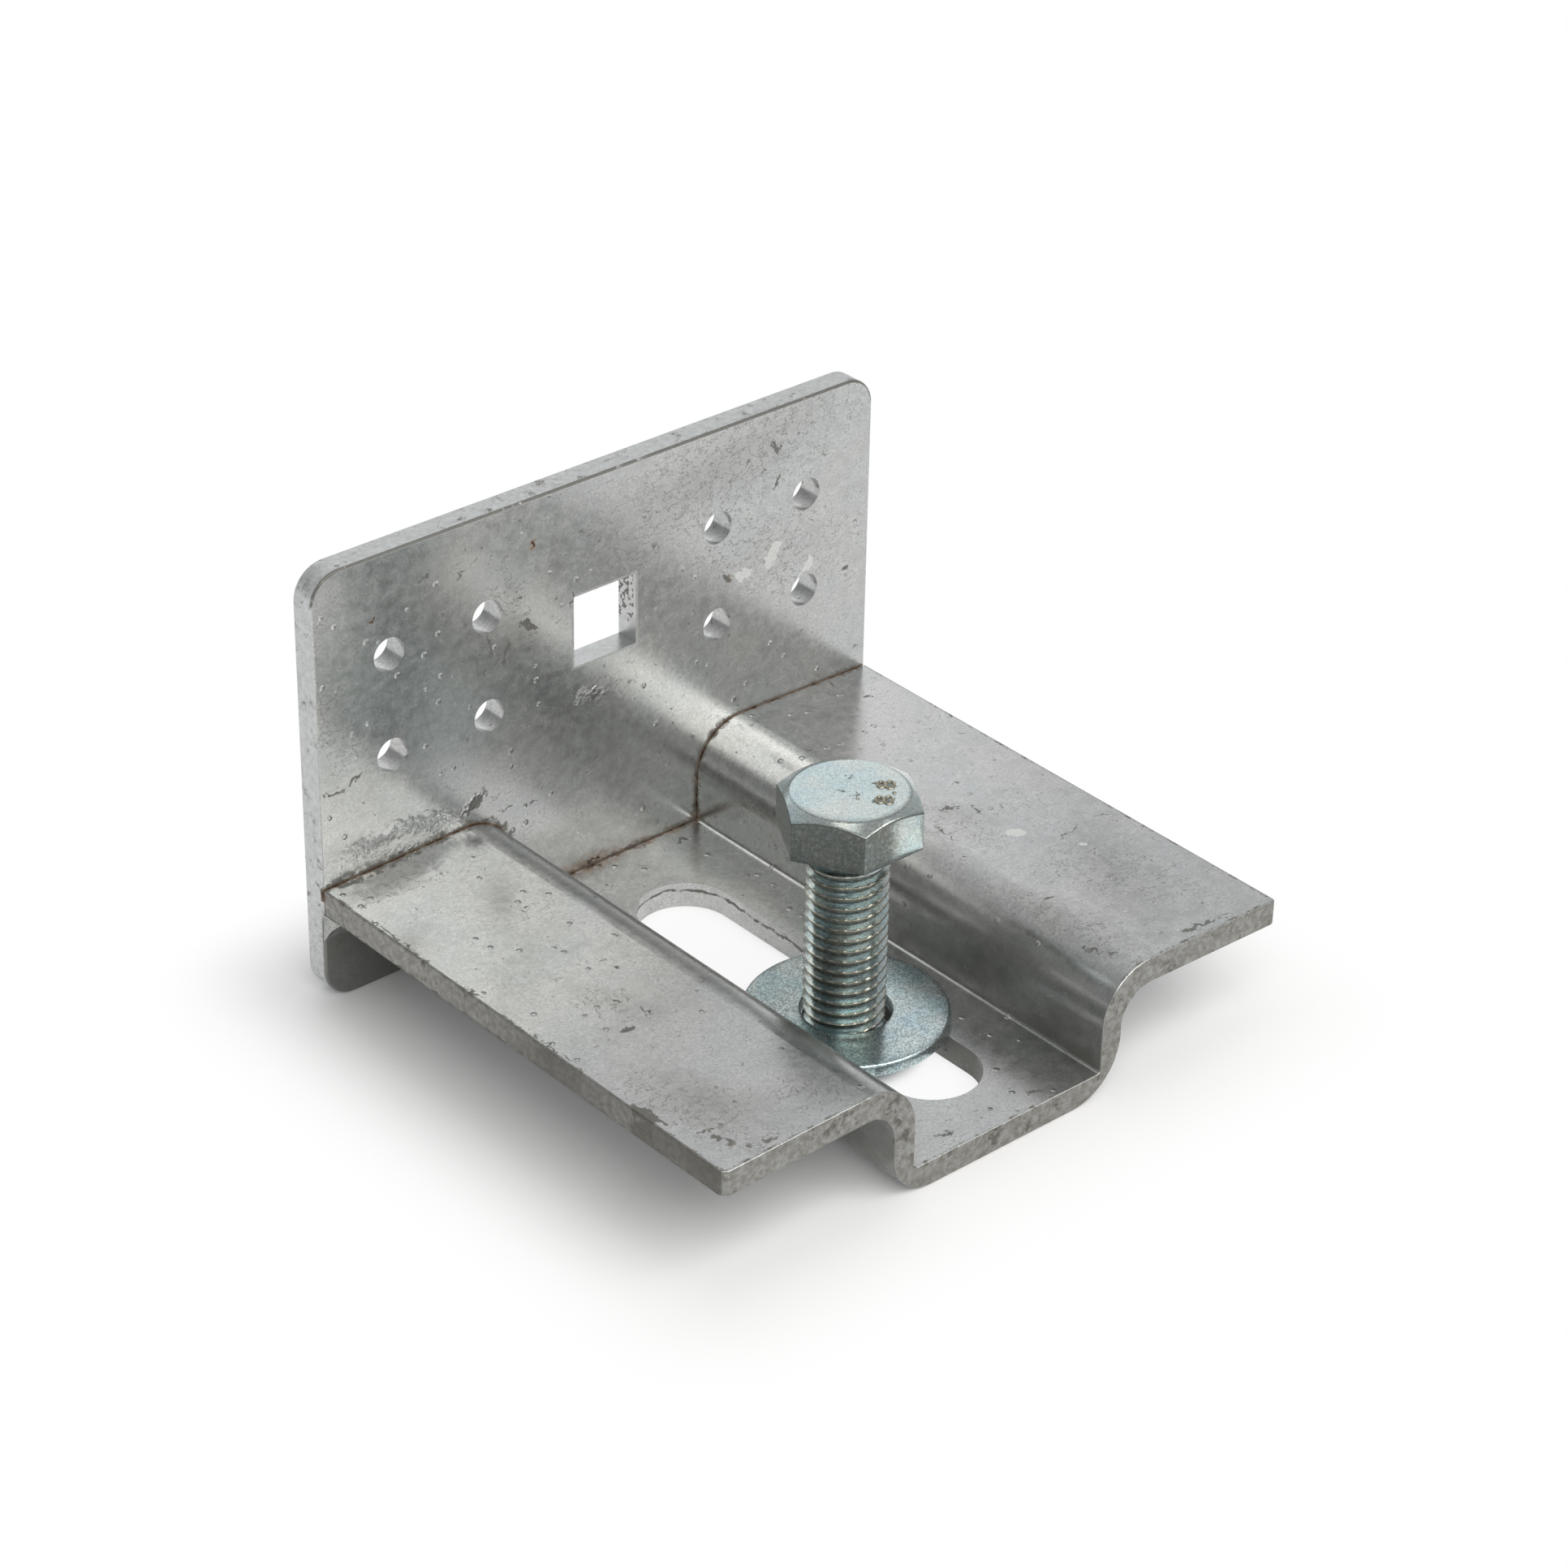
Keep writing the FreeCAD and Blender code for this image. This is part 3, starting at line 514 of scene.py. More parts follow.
# Rubbed places, pale dried drips, and crust along the left seam
PLATE_SCUFFED = [
    (-2.0, 58.0, 44.0, 66.0, 22.0, 0.62),
    (-18.6, 60.0, -15.8, 52.0, 8.0, 0.55),
    (-49.0, 54.0, -48.0, 36.0, 9.0, 0.45),
    (20.0, 50.0, 44.0, 42.0, 18.0, 0.45),
    (-48.0, 22.5, -28.0, 21.0, 6.0, 0.55),
    (-8.0, 34.0, 3.0, 34.0, 9.0, 0.50),
]
PLATE_PALE = [
    (-49.0, 21.6, -27.0, 21.2, 5.0, 0.40),
    (-48.0, 26.0, -34.0, 23.6, 5.0, 0.30),
    (25.8, 43.8, 27.6, 43.3, 2.4, 1.0),
    (38.0, 39.2, 40.2, 42.2, 1.5, 0.9),
    (31.4, 43.4, 33.0, 46.8, 3.0, 0.7),
]
PLATE_CRUST = [
    (-48.0, 23.2, -27.0, 22.0, 6.5, 1.0),
    (-26.6, 22.0, -22.8, 24.6, 2.4, 1.2),
    (-5.4, 34.0, -0.3, 33.2, 2.6, 1.0),
]
crust = marks(tree, torn, "upright", PLATE_FRONT, PLATE_CRUST)
crust = add_node(tree, "MapRange", {"Value": crust, 1: 0.05, 2: 0.75, 4: 0.44}, **SMOOTH)
skin = {
    "film": film,
    "cut": cut_face,
    "cut_light": "#d0d2d2",
    "cut_dark": "#bcbebc",
    "scuffed": marks(tree, torn, "upright", PLATE_FRONT, PLATE_SCUFFED),
    "dirt": dirt,
    "pale": marks(tree, torn, "upright", PLATE_FRONT, PLATE_PALE),
    "rust": rust,
    "crust": crust,
    "peel": FINE_PEEL,
}
galvanise(tree, output, place, SATIN_ZINC | skin)
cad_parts["back_plate"].data.materials[0] = plate_zinc


# Channel: one strip of 4 mm sheet, folded four times in a press to a hat shape, with the slot
# punched in its floor. The left flange has an orange-peel skin, the bends are smoother.
channel_zinc, tree, output = new_material("galvanised_steel_channel")
place = millimetres(tree)
torn = ragged(tree, place)
x, y, z = add_node(tree, "SeparateXYZ", {0: place}).node.outputs
sideways = add_node(tree, "Math", {0: x}, operation="ABSOLUTE")
facing = add_node(tree, "NewGeometry").node.outputs["Normal"]
facing = add_node(tree, "SeparateXYZ", {0: facing}).node.outputs
channel_low, channel_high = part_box("hat_channel")
CHANNEL_SIDE = round(channel_high.x / MM, 2)
CHANNEL_FRONT = round(channel_low.y / MM, 2)
CHANNEL_BACK = round(channel_high.y / MM, 2)
FLANGE_TOP = 19.4
end_on = add_node(tree, "Math", {0: facing[1]}, operation="ABSOLUTE")
end_on = add_node(tree, "MapRange", {"Value": end_on, 1: 0.4, 2: 0.9}, **SMOOTH)
at_front = {"Value": y, 1: CHANNEL_FRONT + 1.0, 2: CHANNEL_FRONT + 0.4}
at_front = add_node(tree, "MapRange", at_front, **SMOOTH)
end_on = add_node(tree, "Math", {0: end_on, 1: at_front}, operation="MULTIPLY")
side_on = {"Value": sideways, 1: CHANNEL_SIDE - 0.40, 2: CHANNEL_SIDE - 0.15}
side_on = add_node(tree, "MapRange", side_on, **SMOOTH)
cut_face = add_node(tree, "Math", {0: end_on, 1: side_on}, operation="MAXIMUM")

# Rust at the seam with the plate
CHANNEL_RUST = [(-7.0, -4.7, 2.3, -4.5, 1.2, 1.0), (-17.0, -5.2, 10.0, -5.0, 3.6, 0.42)]
from_plate = add_node(tree, "Math", {0: CHANNEL_BACK, 1: y}, operation="SUBTRACT")
rust = seam_rust(tree, place, from_plate, sideways, (1.5, 0.62), (0.22, 0.60))
spots = marks(tree, torn, "level", FLOOR_TOP, CHANNEL_RUST)
rust = add_node(tree, "Math", {0: rust, 1: spots}, operation="MAXIMUM")

# Grime on the sheared edges: in patches, in the chip, along the arrises and below
patchy = noise(tree, place, 3.2, 4.0, 0.6)
patchy = {"Value": patchy, 1: 0.44, 2: 0.64, 3: 0.10, 4: 0.40}
patchy = add_node(tree, "MapRange", patchy, **SMOOTH)
patchy = add_node(tree, "Math", {0: cut_face, 1: patchy}, operation="MULTIPLY")
chip = add_node(tree, "SeparateXYZ", {0: torn}).node.outputs[1]
chip = add_node(tree, "Math", {0: chip, 1: -75.6, 2: 2.2}, operation="COMPARE")
to_left = add_node(tree, "MapRange", {"Value": x, 1: -40.0, 2: -50.0, 4: 0.60}, **SMOOTH)
for mask in (side_on, to_left):
    chip = add_node(tree, "Math", {0: chip, 1: mask}, operation="MULTIPLY")
front_arris = {0: y, 1: CHANNEL_FRONT + 0.35, 2: 0.22}
front_arris = add_node(tree, "Math", front_arris, operation="COMPARE")
side_arris = {0: sideways, 1: CHANNEL_SIDE - 0.40, 2: 0.25}
side_arris = add_node(tree, "Math", side_arris, operation="COMPARE")
arris = add_node(tree, "Math", {0: front_arris, 1: side_arris}, operation="MAXIMUM")
arris = add_node(tree, "Math", {0: arris, 1: 0.36}, operation="MULTIPLY")
lower_edge = add_node(tree, "MapRange", {"Value": z, 1: 16.2, 2: 15.2, 4: 0.5}, **SMOOTH)
lower_edge = add_node(tree, "Math", {0: lower_edge, 1: side_on}, operation="MULTIPLY")
at_plate = add_node(tree, "MapRange", {"Value": from_plate, 1: 2.0, 2: 0.0, 4: 0.42}, **SMOOTH)

# The punch left the slot's wall cut above and broken below, and torn at the front
fracture = noise(tree, place, 2.6, 5.0, 0.65)
fracture = add_node(tree, "Math", {0: fracture, 1: 2.0, 2: 1.9}, operation="MULTIPLY_ADD")
fracture = add_node(tree, "Math", {0: z, 1: fracture}, operation="SUBTRACT")
fracture = add_node(tree, "Math", {0: fracture}, operation="ABSOLUTE")
fracture = add_node(tree, "MapRange", {"Value": fracture, 1: 0.50, 2: 0.08, 4: 0.55}, **SMOOTH)
torn_zone = add_node(tree, "MapRange", {"Value": y, 1: -70.0, 2: -76.0, 4: 0.60}, **SMOOTH)
below_lip = add_node(tree, "MapRange", {"Value": z, 1: 3.5, 2: 3.0}, **SMOOTH)
torn_zone = add_node(tree, "Math", {0: torn_zone, 1: below_lip}, operation="MULTIPLY")
fracture = add_node(tree, "Math", {0: fracture, 1: torn_zone}, operation="MAXIMUM")
below_top = add_node(tree, "MapRange", {"Value": z, 1: 3.9, 2: 3.6}, **SMOOTH)
in_width = add_node(tree, "MapRange", {"Value": sideways, 1: 8.4, 2: 7.8}, **SMOOTH)
in_length = add_node(tree, "MapRange", {"Value": from_plate, 1: 81.0, 2: 80.4}, **SMOOTH)
for mask in (below_top, in_width, in_length):
    fracture = add_node(tree, "Math", {0: fracture, 1: mask}, operation="MULTIPLY")

# Single marks of dirt on the flanges and the floor
FLANGE_DIRT = [
    (-50.0, -5.6, -34.0, -5.4, 2.4, 0.50),
    (-38.2, -51.6, -37.6, -53.8, 0.6, 1.5),
    (-36.2, -55.6, -35.5, -58.2, 0.6, 1.5),
    (-41.9, -58.8, -39.6, -58.9, 1.3, 1.5),
    (-32.8, -46.0, -31.9, -46.8, 0.8, 1.3),
    (-51.0, -36.0, -50.9, -41.0, 1.1, 1.2),
    (-51.6, -72.6, -50.4, -79.0, 2.2, 1.4),
    (-48.0, -82.0, -46.0, -90.0, 3.0, 0.6),
    (-49.5, -88.4, -38.0, -91.4, 3.2, 0.55),
    (-50.6, -62.0, -50.4, -90.0, 2.4, 0.50),
    (-44.0, -74.0, -40.0, -84.0, 5.0, 0.34),
    (-49.8, -83.0, -46.2, -83.8, 0.8, 1.1),
    (-51.0, -5.0, -44.0, -5.2, 2.0, 1.0),
    (-44.0, -5.0, -30.0, -5.0, 1.2, 0.7),
    (-51.2, -8.0, -51.0, -30.0, 1.0, 0.8),
    (-51.2, -44.0, -51.0, -70.0, 0.9, 0.7),
    (29.4, -43.6, 34.9, -45.6, 1.3, 1.1),
    (34.9, -45.6, 35.4, -49.4, 0.9, 0.9),
    (27.2, -46.3, 26.1, -54.8, 0.7, 0.8),
    (22.0, -9.0, 20.3, -14.6, 1.2, 0.9),
    (25.2, -71.5, 27.2, -71.9, 1.1, 1.3),
    (36.6, -61.6, 46.0, -59.5, 0.45, 1.1),
    (46.0, -59.5, 51.7, -60.2, 0.45, 1.0),
    (20.3, -79.0, 25.0, -90.8, 1.6, 0.8),
    (30.0, -89.6, 47.0, -91.0, 1.6, 0.7),
    (43.3, -4.4, 43.1, -7.2, 0.7, 1.0),
    (44.4, -11.6, 45.5, -12.8, 0.8, 1.1),
]
FLOOR_DIRT = [
    (10.4, -7.4, 13.8, -7.2, 1.2, 0.9),
    (4.7, -88.4, 10.4, -90.6, 2.4, 0.7),
    (-12.0, -88.0, -6.0, -90.0, 2.4, 0.7),
]
dirt = marks(tree, torn, "level", FLANGE_TOP, FLANGE_DIRT)
floor_dirt = marks(tree, torn, "level", FLOOR_TOP, FLOOR_DIRT)
for layer in (floor_dirt, patchy, chip, arris, lower_edge, at_plate, fracture):
    dirt = add_node(tree, "Math", {0: dirt, 1: layer}, operation="MAXIMUM")

# Painted shade on the right web's face towards the trough, most to the front, and broad stains on
# the flanges
FLANGE_STAINS = [
    (28.0, -42.0, 34.0, -50.0, 9.0, 0.30),
    (44.0, -62.0, 33.0, -84.0, 15.0, 0.36),
    (24.0, -68.0, 26.0, -90.0, 9.0, 0.34),
    (-46.0, -70.0, -40.0, -90.0, 16.0, 0.40),
    (-34.0, -86.0, -20.0, -90.0, 9.0, 0.30),
    (-40.0, -48.0, -36.0, -58.0, 8.0, 0.24),
    (-49.0, -8.0, -36.0, -8.0, 9.0, 0.30),
]
# Painted shade: the right web's face towards the trough is darkened, most to the front
on_web = add_node(tree, "MapRange", {"Value": facing[0], 1: -0.50, 2: -0.98}, **SMOOTH)
to_front = {"Value": y, 1: -24.0, 2: -62.0, 3: 0.10, 4: 0.88}
to_front = add_node(tree, "MapRange", to_front, **SMOOTH)
film = add_node(tree, "Math", {0: on_web, 1: to_front}, operation="MULTIPLY")
stained = marks(tree, place, "level", FLANGE_TOP, FLANGE_STAINS)
film = add_node(tree, "Math", {0: film, 1: stained}, operation="MAXIMUM")
uneven = noise(tree, place, 9.0, 3.0, 0.5, (1, 1.8, 1))
uneven = {"Value": uneven, 1: 0.30, 2: 0.70, 3: 0.6, 4: 1.2}
uneven = add_node(tree, "MapRange", uneven, **SMOOTH)
film = add_node(tree, "Math", {0: film, 1: uneven}, operation="MULTIPLY")

# Rubbed places and pale spots
FLANGE_SCUFFED = [
    (-48.0, -70.0, -44.0, -90.0, 14.0, 0.75),
    (-36.0, -84.0, -24.0, -90.0, 12.0, 0.55),
    (-48.0, -10.0, -34.0, -8.0, 8.0, 0.55),
    (-40.0, -50.0, -36.0, -58.0, 9.0, 0.40),
    (36.0, -66.0, 42.0, -80.0, 16.0, 0.62),
    (30.0, -44.0, 30.0, -54.0, 12.0, 0.50),
    (22.0, -66.0, 26.0, -90.0, 10.0, 0.55),
]
FLANGE_PALE = [
    (34.7, -55.5, 35.5, -56.1, 2.8, 0.9),
    (40.4, -63.9, 40.9, -64.4, 1.2, 0.8),
]
peel = {"Value": x, 1: -10.0, 2: -22.0, 3: FINE_PEEL, 4: 0.005}
skin = {
    "film": film,
    "cut": cut_face,
    "cut_light": "#a3a3a0",
    "cut_dark": "#807e77",
    "scuffed": marks(tree, torn, "level", FLANGE_TOP, FLANGE_SCUFFED),
    "dirt": dirt,
    "pale": marks(tree, place, "level", FLANGE_TOP, FLANGE_PALE),
    "rust": rust,
    "crust": add_node(tree, "MapRange", {"Value": cut_face, 4: 0.12}, **SMOOTH),
    "peel": add_node(tree, "MapRange", peel, **SMOOTH),
}
galvanise(tree, output, place, SATIN_ZINC | skin)
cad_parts["hat_channel"].data.materials[0] = channel_zinc


# Fillet welds: arc-welded beads in the corner between the plate and the underside of the channel,
# laid before dipping, so the zinc lies over their ripples.
weld_zinc, tree, output = new_material("galvanised_weld_bead")
skin = {
    "cloud": 8.0,
    "cool": "#adb1b1",
    "warm": "#b4b4af",
    "film": 0.0,
    "cut": 0.0,
    "cut_light": "#a9aba6",
    "cut_dark": "#85837a",
    "scuffed": 0.35,
    "dirt": 0.25,
    "pale": 0.0,
    "rust": 0.0,
    "crust": 0.10,
    "metal": 0.75,
    "rough": (0.30, 0.46),
    "ripple": 0.04,
    "peel": 0.01,
}
galvanise(tree, output, millimetres(tree), skin)

WELD_OUT = 4.0
WELD_DOWN = 4.6
WELD_HOLLOW = 0.5
WELD_RIPPLE = 1.6
WELD_LIFT = 0.16
WELD_SUNK = 0.06
WELD_FACETS = 14
FLANGE_STEPS = 150
BEND_STEPS = 40
WEB_STEPS = 8
FLANGE_EDGE_UNDER = 15.05
FLANGE_ROOT_UNDER = 15.808
BEND_INSIDE = 5.2


def join_rings(form, rings):
    """Faces between each ring of points and the next."""
    for one, other in zip(rings, rings[1:]):
        for number in range(len(one)):
            follows = (number + 1) % len(one)
            form.faces.new((one[number], one[follows], other[follows], other[number]))


def weld_path(edge, web, end):
    """Points along a weld's root in mm, each with the way out of the sheet: under the flange, round
    the bend and down the web."""
    drop = (FLANGE_ROOT_UNDER - FLANGE_EDGE_UNDER) / (edge - web)
    slope = math.atan(drop)
    reach = BEND_INSIDE * math.tan((math.pi / 2 - slope) / 2)
    run = (edge - web) / math.cos(slope) - reach
    path = []
    for step in range(FLANGE_STEPS):
        along = run * step / FLANGE_STEPS
        rise = FLANGE_EDGE_UNDER + along * math.sin(slope)
        point = Vector((edge - along * math.cos(slope), 0, rise))
        path.append((point, Vector((math.sin(slope), 0, -math.cos(slope)))))
    bend_foot = FLANGE_ROOT_UNDER - reach
    centre = Vector((web + BEND_INSIDE, 0, bend_foot))
    for step in range(BEND_STEPS):
        turn = (math.pi / 2 - slope) * step / BEND_STEPS + slope
        outward = Vector((-math.sin(turn), 0, math.cos(turn)))
        path.append((centre + outward * BEND_INSIDE, -outward))
    for step in range(WEB_STEPS + 1):
        down = (bend_foot - end) * step / WEB_STEPS
        path.append((Vector((web, 0, bend_foot - down)), Vector((1, 0, 0))))
    return path


def add_weld(node, hand):
    """A hollow bead with ripples along the root. hand is -1 on the left and 1 on the right."""
    low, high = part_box(node)
    edge = max(abs(low.x), abs(high.x)) / MM
    web = min(abs(low.x), abs(high.x)) / MM
    path = weld_path(edge, web, low.z / MM)
    bead = bmesh.new()
    rings = []
    travelled = 0.0
    before = path[0][0]
    for point, away in path:
        travelled += (point - before).length
        before = point
        root = point + Vector((0, PLATE_FRONT, 0))
        toe_out = point + Vector((0, PLATE_FRONT - WELD_OUT, 0))
        toe_down = point + away * WELD_DOWN + Vector((0, PLATE_FRONT, 0))
        inward = (root * 2 - toe_out - toe_down).normalized()
        middle = (toe_out + toe_down) / 2 + inward * WELD_HOLLOW * 2
        ring = []
        for number in range(WELD_FACETS + 1):
            part = number / WELD_FACETS
            spot = toe_down * (1 - part) ** 2 + middle * 2 * part * (1 - part) + toe_out * part**2
            arc = 4 * part * (1 - part)
            phase = travelled / WELD_RIPPLE + 0.55 * arc
            lift = WELD_LIFT * abs(math.sin(math.pi * phase)) ** 0.7 * arc**0.5
            spot = spot - inward * (lift - WELD_SUNK)
            ring.append(bead.verts.new(Vector((spot.x * hand, spot.y, spot.z)) * MM))
        ring.append(bead.verts.new(Vector((root.x * hand, root.y, root.z)) * MM))
        rings.append(ring)
    join_rings(bead, rings)
    bead.faces.new(rings[0])
    bead.faces.new(rings[-1])
    bmesh.ops.recalc_face_normals(bead, faces=bead.faces)
    for face in bead.faces:
        face.smooth = len(face.verts) == 4
    piece = add_piece(f"{node}_bead", bead, weld_zinc)
    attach(piece, "root")
    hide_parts(node)


add_weld("left_weld", -1)
add_weld("right_weld", 1)


# Flat washer: punched from 2 mm steel strip and barrel-plated with zinc, then blue-passivated.
# Tumbling gives the plating its fine, even sparkle and rounds the punched rim.
def electroplate(tree, output, place, plating):
    """Blue-passivated zinc plating: bright and faintly blue, with a fine sparkle, some grime, and on
    the bolt painted shade.
    """
    grain = noise(tree, place, plating["grain"], 3.0, 0.6)
    patch = noise(tree, place, 5.0, 4.0, 0.6)
    tint = add_node(tree, "MapRange", {"Value": patch, 1: 0.35, 2: 0.65}, **SMOOTH)
    colour = {"Factor": tint, "A": linear(plating["blue"]), "B": linear(plating["grey"])}
    colour = add_node(tree, "Mix", colour, data_type="RGBA")
    crystal = add_node(tree, "TexVoronoi", {"Vector": place, "Scale": 1 / plating["crystal"]})
    crystal = add_node(tree, "SeparateColor", {0: crystal.node.outputs["Color"]})
    crystal = add_node(tree, "Math", {0: crystal, 1: grain}, operation="ADD")
    darkest, brightest = plating["sparkle"]
    sparkle = {"Value": crystal, 1: 0.55, 2: 1.45, 3: darkest, 4: brightest}
    sparkle = add_node(tree, "MapRange", sparkle, **SMOOTH)
    colour = add_node(tree, "VectorMath", {0: colour, "Scale": sparkle}, operation="SCALE")
    uneven = noise(tree, place, 0.6, 5.0, 0.8)
    uneven = add_node(tree, "Math", {0: uneven, 1: 0.9, 2: -0.45}, operation="MULTIPLY_ADD")
    # This grime also carries the painted shade that a piece gives, as the bolt does
    grime = add_node(tree, "Math", {0: uneven, 1: plating["grime"]}, operation="ADD")
    grime = add_node(tree, "MapRange", {"Value": grime, 1: 0.12, 2: 0.66, 4: 0.80}, **SMOOTH)
    for layer, tone in ((plating["worn"], "worn_colour"), (grime, "shade_and_grime_colour")):
        colour = {"Factor": layer, "A": colour, "B": linear(plating[tone])}
        colour = add_node(tree, "Mix", colour, data_type="RGBA")
    metal = add_node(tree, "MapRange", {"Value": grime, 3: 0.94, 4: 0.80}, **SMOOTH)
    metal = {0: plating["dull"], 1: -0.34, 2: metal}
    metal = add_node(tree, "Math", metal, operation="MULTIPLY_ADD")
    smoothest, roughest = plating["rough"]
    rough = {"Value": grain, 1: 0.3, 2: 0.7, 3: smoothest, 4: roughest}
    rough = add_node(tree, "MapRange", rough, **SMOOTH)
    rough = add_node(tree, "Math", {0: grime, 1: 0.25, 2: rough}, operation="MULTIPLY_ADD")
    relief = add_node(tree, "Math", {0: grain, 1: plating["relief"]}, operation="MULTIPLY")
    relief = add_node(tree, "Math", {0: patch, 1: 0.02, 2: relief}, operation="MULTIPLY_ADD")
    bump = add_node(tree, "Bump", {"Height": relief, "Distance": MM, "Strength": 1.0})
    zinc_shader = {"Base Color": colour, "Metallic": metal, "Roughness": rough, "Normal": bump}
    zinc_shader = add_node(tree, "BsdfPrincipled", zinc_shader)
    tree.links.new(zinc_shader, output.inputs["Surface"])


washer_zinc, tree, output = new_material("zinc_plated_washer")
plating = {
    "grain": 0.24,
    "crystal": 0.20,
    "blue": "#a9bcc0",
    "grey": "#bac4c4",
    "sparkle": (0.66, 1.38),
    "worn": 0.0,
    "worn_colour": "#c9b98f",
    "grime": 0.03,
    "shade_and_grime_colour": "#4a5154",
    "rough": (0.18, 0.28),
    "dull": 0.0,
    "relief": 0.010,
}
electroplate(tree, output, millimetres(tree), plating)


def lathe(form, centre, profile, segments):
    """A closed ring of faces turned about an upright axis from (radius, height) pairs in mm."""
    rings = []
    for step in range(segments):
        turn = 2 * math.pi * step / segments
        ring = []
        for radius, height in profile:
            across, along = radius * math.cos(turn), radius * math.sin(turn)
            ring.append(form.verts.new(Vector((centre[0] + across, centre[1] + along, height)) * MM))
        rings.append(ring)
    count = len(profile)
    for step in range(segments):
        one, other = rings[step], rings[(step + 1) % segments]
        for number in range(count):
            follows = (number + 1) % count
            form.faces.new((one[number], other[number], other[follows], one[follows]))


def rounded(radius_at, height_at, radius, start, end, steps=5):
    """Points of a quarter round about (radius_at, height_at), from start to end degrees."""
    points = []
    for step in range(steps + 1):
        turn = math.radians(start + (end - start) * step / steps)
        points.append((radius_at + radius * math.cos(turn), height_at + radius * math.sin(turn)))
    return points


washer_low, washer_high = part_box("flat_washer")
washer_centre = ((washer_low.x + washer_high.x) / 2 / MM, (washer_low.y + washer_high.y) / 2 / MM)
WASHER_UNDER = washer_low.z / MM
WASHER_TOP = washer_high.z / MM
WASHER_RADIUS = (washer_high.x - washer_low.x) / 2 / MM
WASHER_HOLE = 6.6
washer_profile = (
    rounded(WASHER_RADIUS - 0.25, WASHER_UNDER + 0.25, 0.25, -90, 0)
    + rounded(WASHER_RADIUS - 0.50, WASHER_TOP - 0.50, 0.50, 0, 90)
    + [(WASHER_RADIUS - 1.2, WASHER_TOP), (WASHER_HOLE + 1.2, WASHER_TOP)]
    + rounded(WASHER_HOLE + 0.30, WASHER_TOP - 0.30, 0.30, 90, 180)
    + rounded(WASHER_HOLE + 0.15, WASHER_UNDER + 0.15, 0.15, 180, 270)
)
washer_form = bmesh.new()
lathe(washer_form, washer_centre, washer_profile, 160)
bmesh.ops.recalc_face_normals(washer_form, faces=washer_form.faces)
for face in washer_form.faces:
    face.smooth = True
washer = add_piece("washer_ring", washer_form, washer_zinc)
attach(washer, "root")
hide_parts("flat_washer")


# Hex bolt: M12, fully threaded, cold-headed and thread-rolled from 8.8 steel, then zinc plated.
# The head keeps the header's matt skin, with olive grime and painted shade, the thread is brighter.
BOLT_AXIS = (-1.2, -59.2)
HEAD_FLATS = 18.7
HEAD_FLAT_TOP = 8.4
HEAD_UNDER = 35.0
HEAD_TOP = 42.4
ROUND_FIGURES = [
    (4.2, -62.1, 2.7, -60.6, 2.2, 0.9),
    (1.3, -65.0, -0.2, -63.5, 2.2, 0.9),
    (-3.0, -58.0, -1.6, -58.8, 0.7, 1.0),
    (-2.2, -61.4, -0.8, -60.0, 0.6, 1.0),
    (-2.6, -60.2, -0.6, -61.0, 0.6, 0.9),
    (0.2, -57.0, 1.6, -56.2, 0.6, 0.9),
]
bolt_zinc, tree, output = new_material("zinc_plated_bolt")
place = millimetres(tree)
across, _, height = add_node(tree, "SeparateXYZ", {0: place}).node.outputs
facing = add_node(tree, "NewGeometry").node.outputs["Normal"]
facing = add_node(tree, "SeparateXYZ", {0: facing}).node.outputs
flat_on = add_node(tree, "Math", {0: facing[2]}, operation="ABSOLUTE")
on_side = add_node(tree, "MapRange", {"Value": flat_on, 1: 0.6, 2: 0.2}, **SMOOTH)
on_head = {"Value": height, 1: HEAD_UNDER - 0.4, 2: HEAD_UNDER}
on_head = add_node(tree, "MapRange", on_head, **SMOOTH)
below_head = {"Value": height, 1: HEAD_UNDER - 0.1, 2: HEAD_UNDER - 0.5}
below_head = add_node(tree, "MapRange", below_head, **SMOOTH)
from_axis = add_node(tree, "VectorMath", {0: place, 1: (*BOLT_AXIS, 0)}, operation="SUBTRACT")
from_axis = add_node(tree, "VectorMath", {0: from_axis, 1: (1, 1, 0)}, operation="MULTIPLY")
from_axis = add_node(tree, "VectorMath", {0: from_axis}, operation="LENGTH")

# Painted shade on the head's sides, most on the left, at the neck and in the thread's roots
# Painted shade: the head's sides are darkened, more to the left, where less light reaches them
to_left = add_node(tree, "MapRange", {"Value": across, 1: 1.0, 2: -3.0, 3: 0.10, 4: 0.52}, **SMOOTH)
grime = add_node(tree, "Math", {0: on_side, 1: on_head}, operation="MULTIPLY")
grime = add_node(tree, "Math", {0: grime, 1: to_left, 2: 0.04}, operation="MULTIPLY_ADD")
# Painted shade just under the head, at the neck
neck = add_node(tree, "Math", {0: height, 1: HEAD_UNDER - 0.8, 2: 1.2}, operation="COMPARE")
neck = add_node(tree, "Math", {0: neck, 1: 0.45}, operation="MULTIPLY")
# Painted shade in the thread's roots
root = add_node(tree, "MapRange", {"Value": from_axis, 1: 5.40, 2: 4.95, 4: 0.62}, **SMOOTH)
root = add_node(tree, "Math", {0: root, 1: below_head}, operation="MULTIPLY")

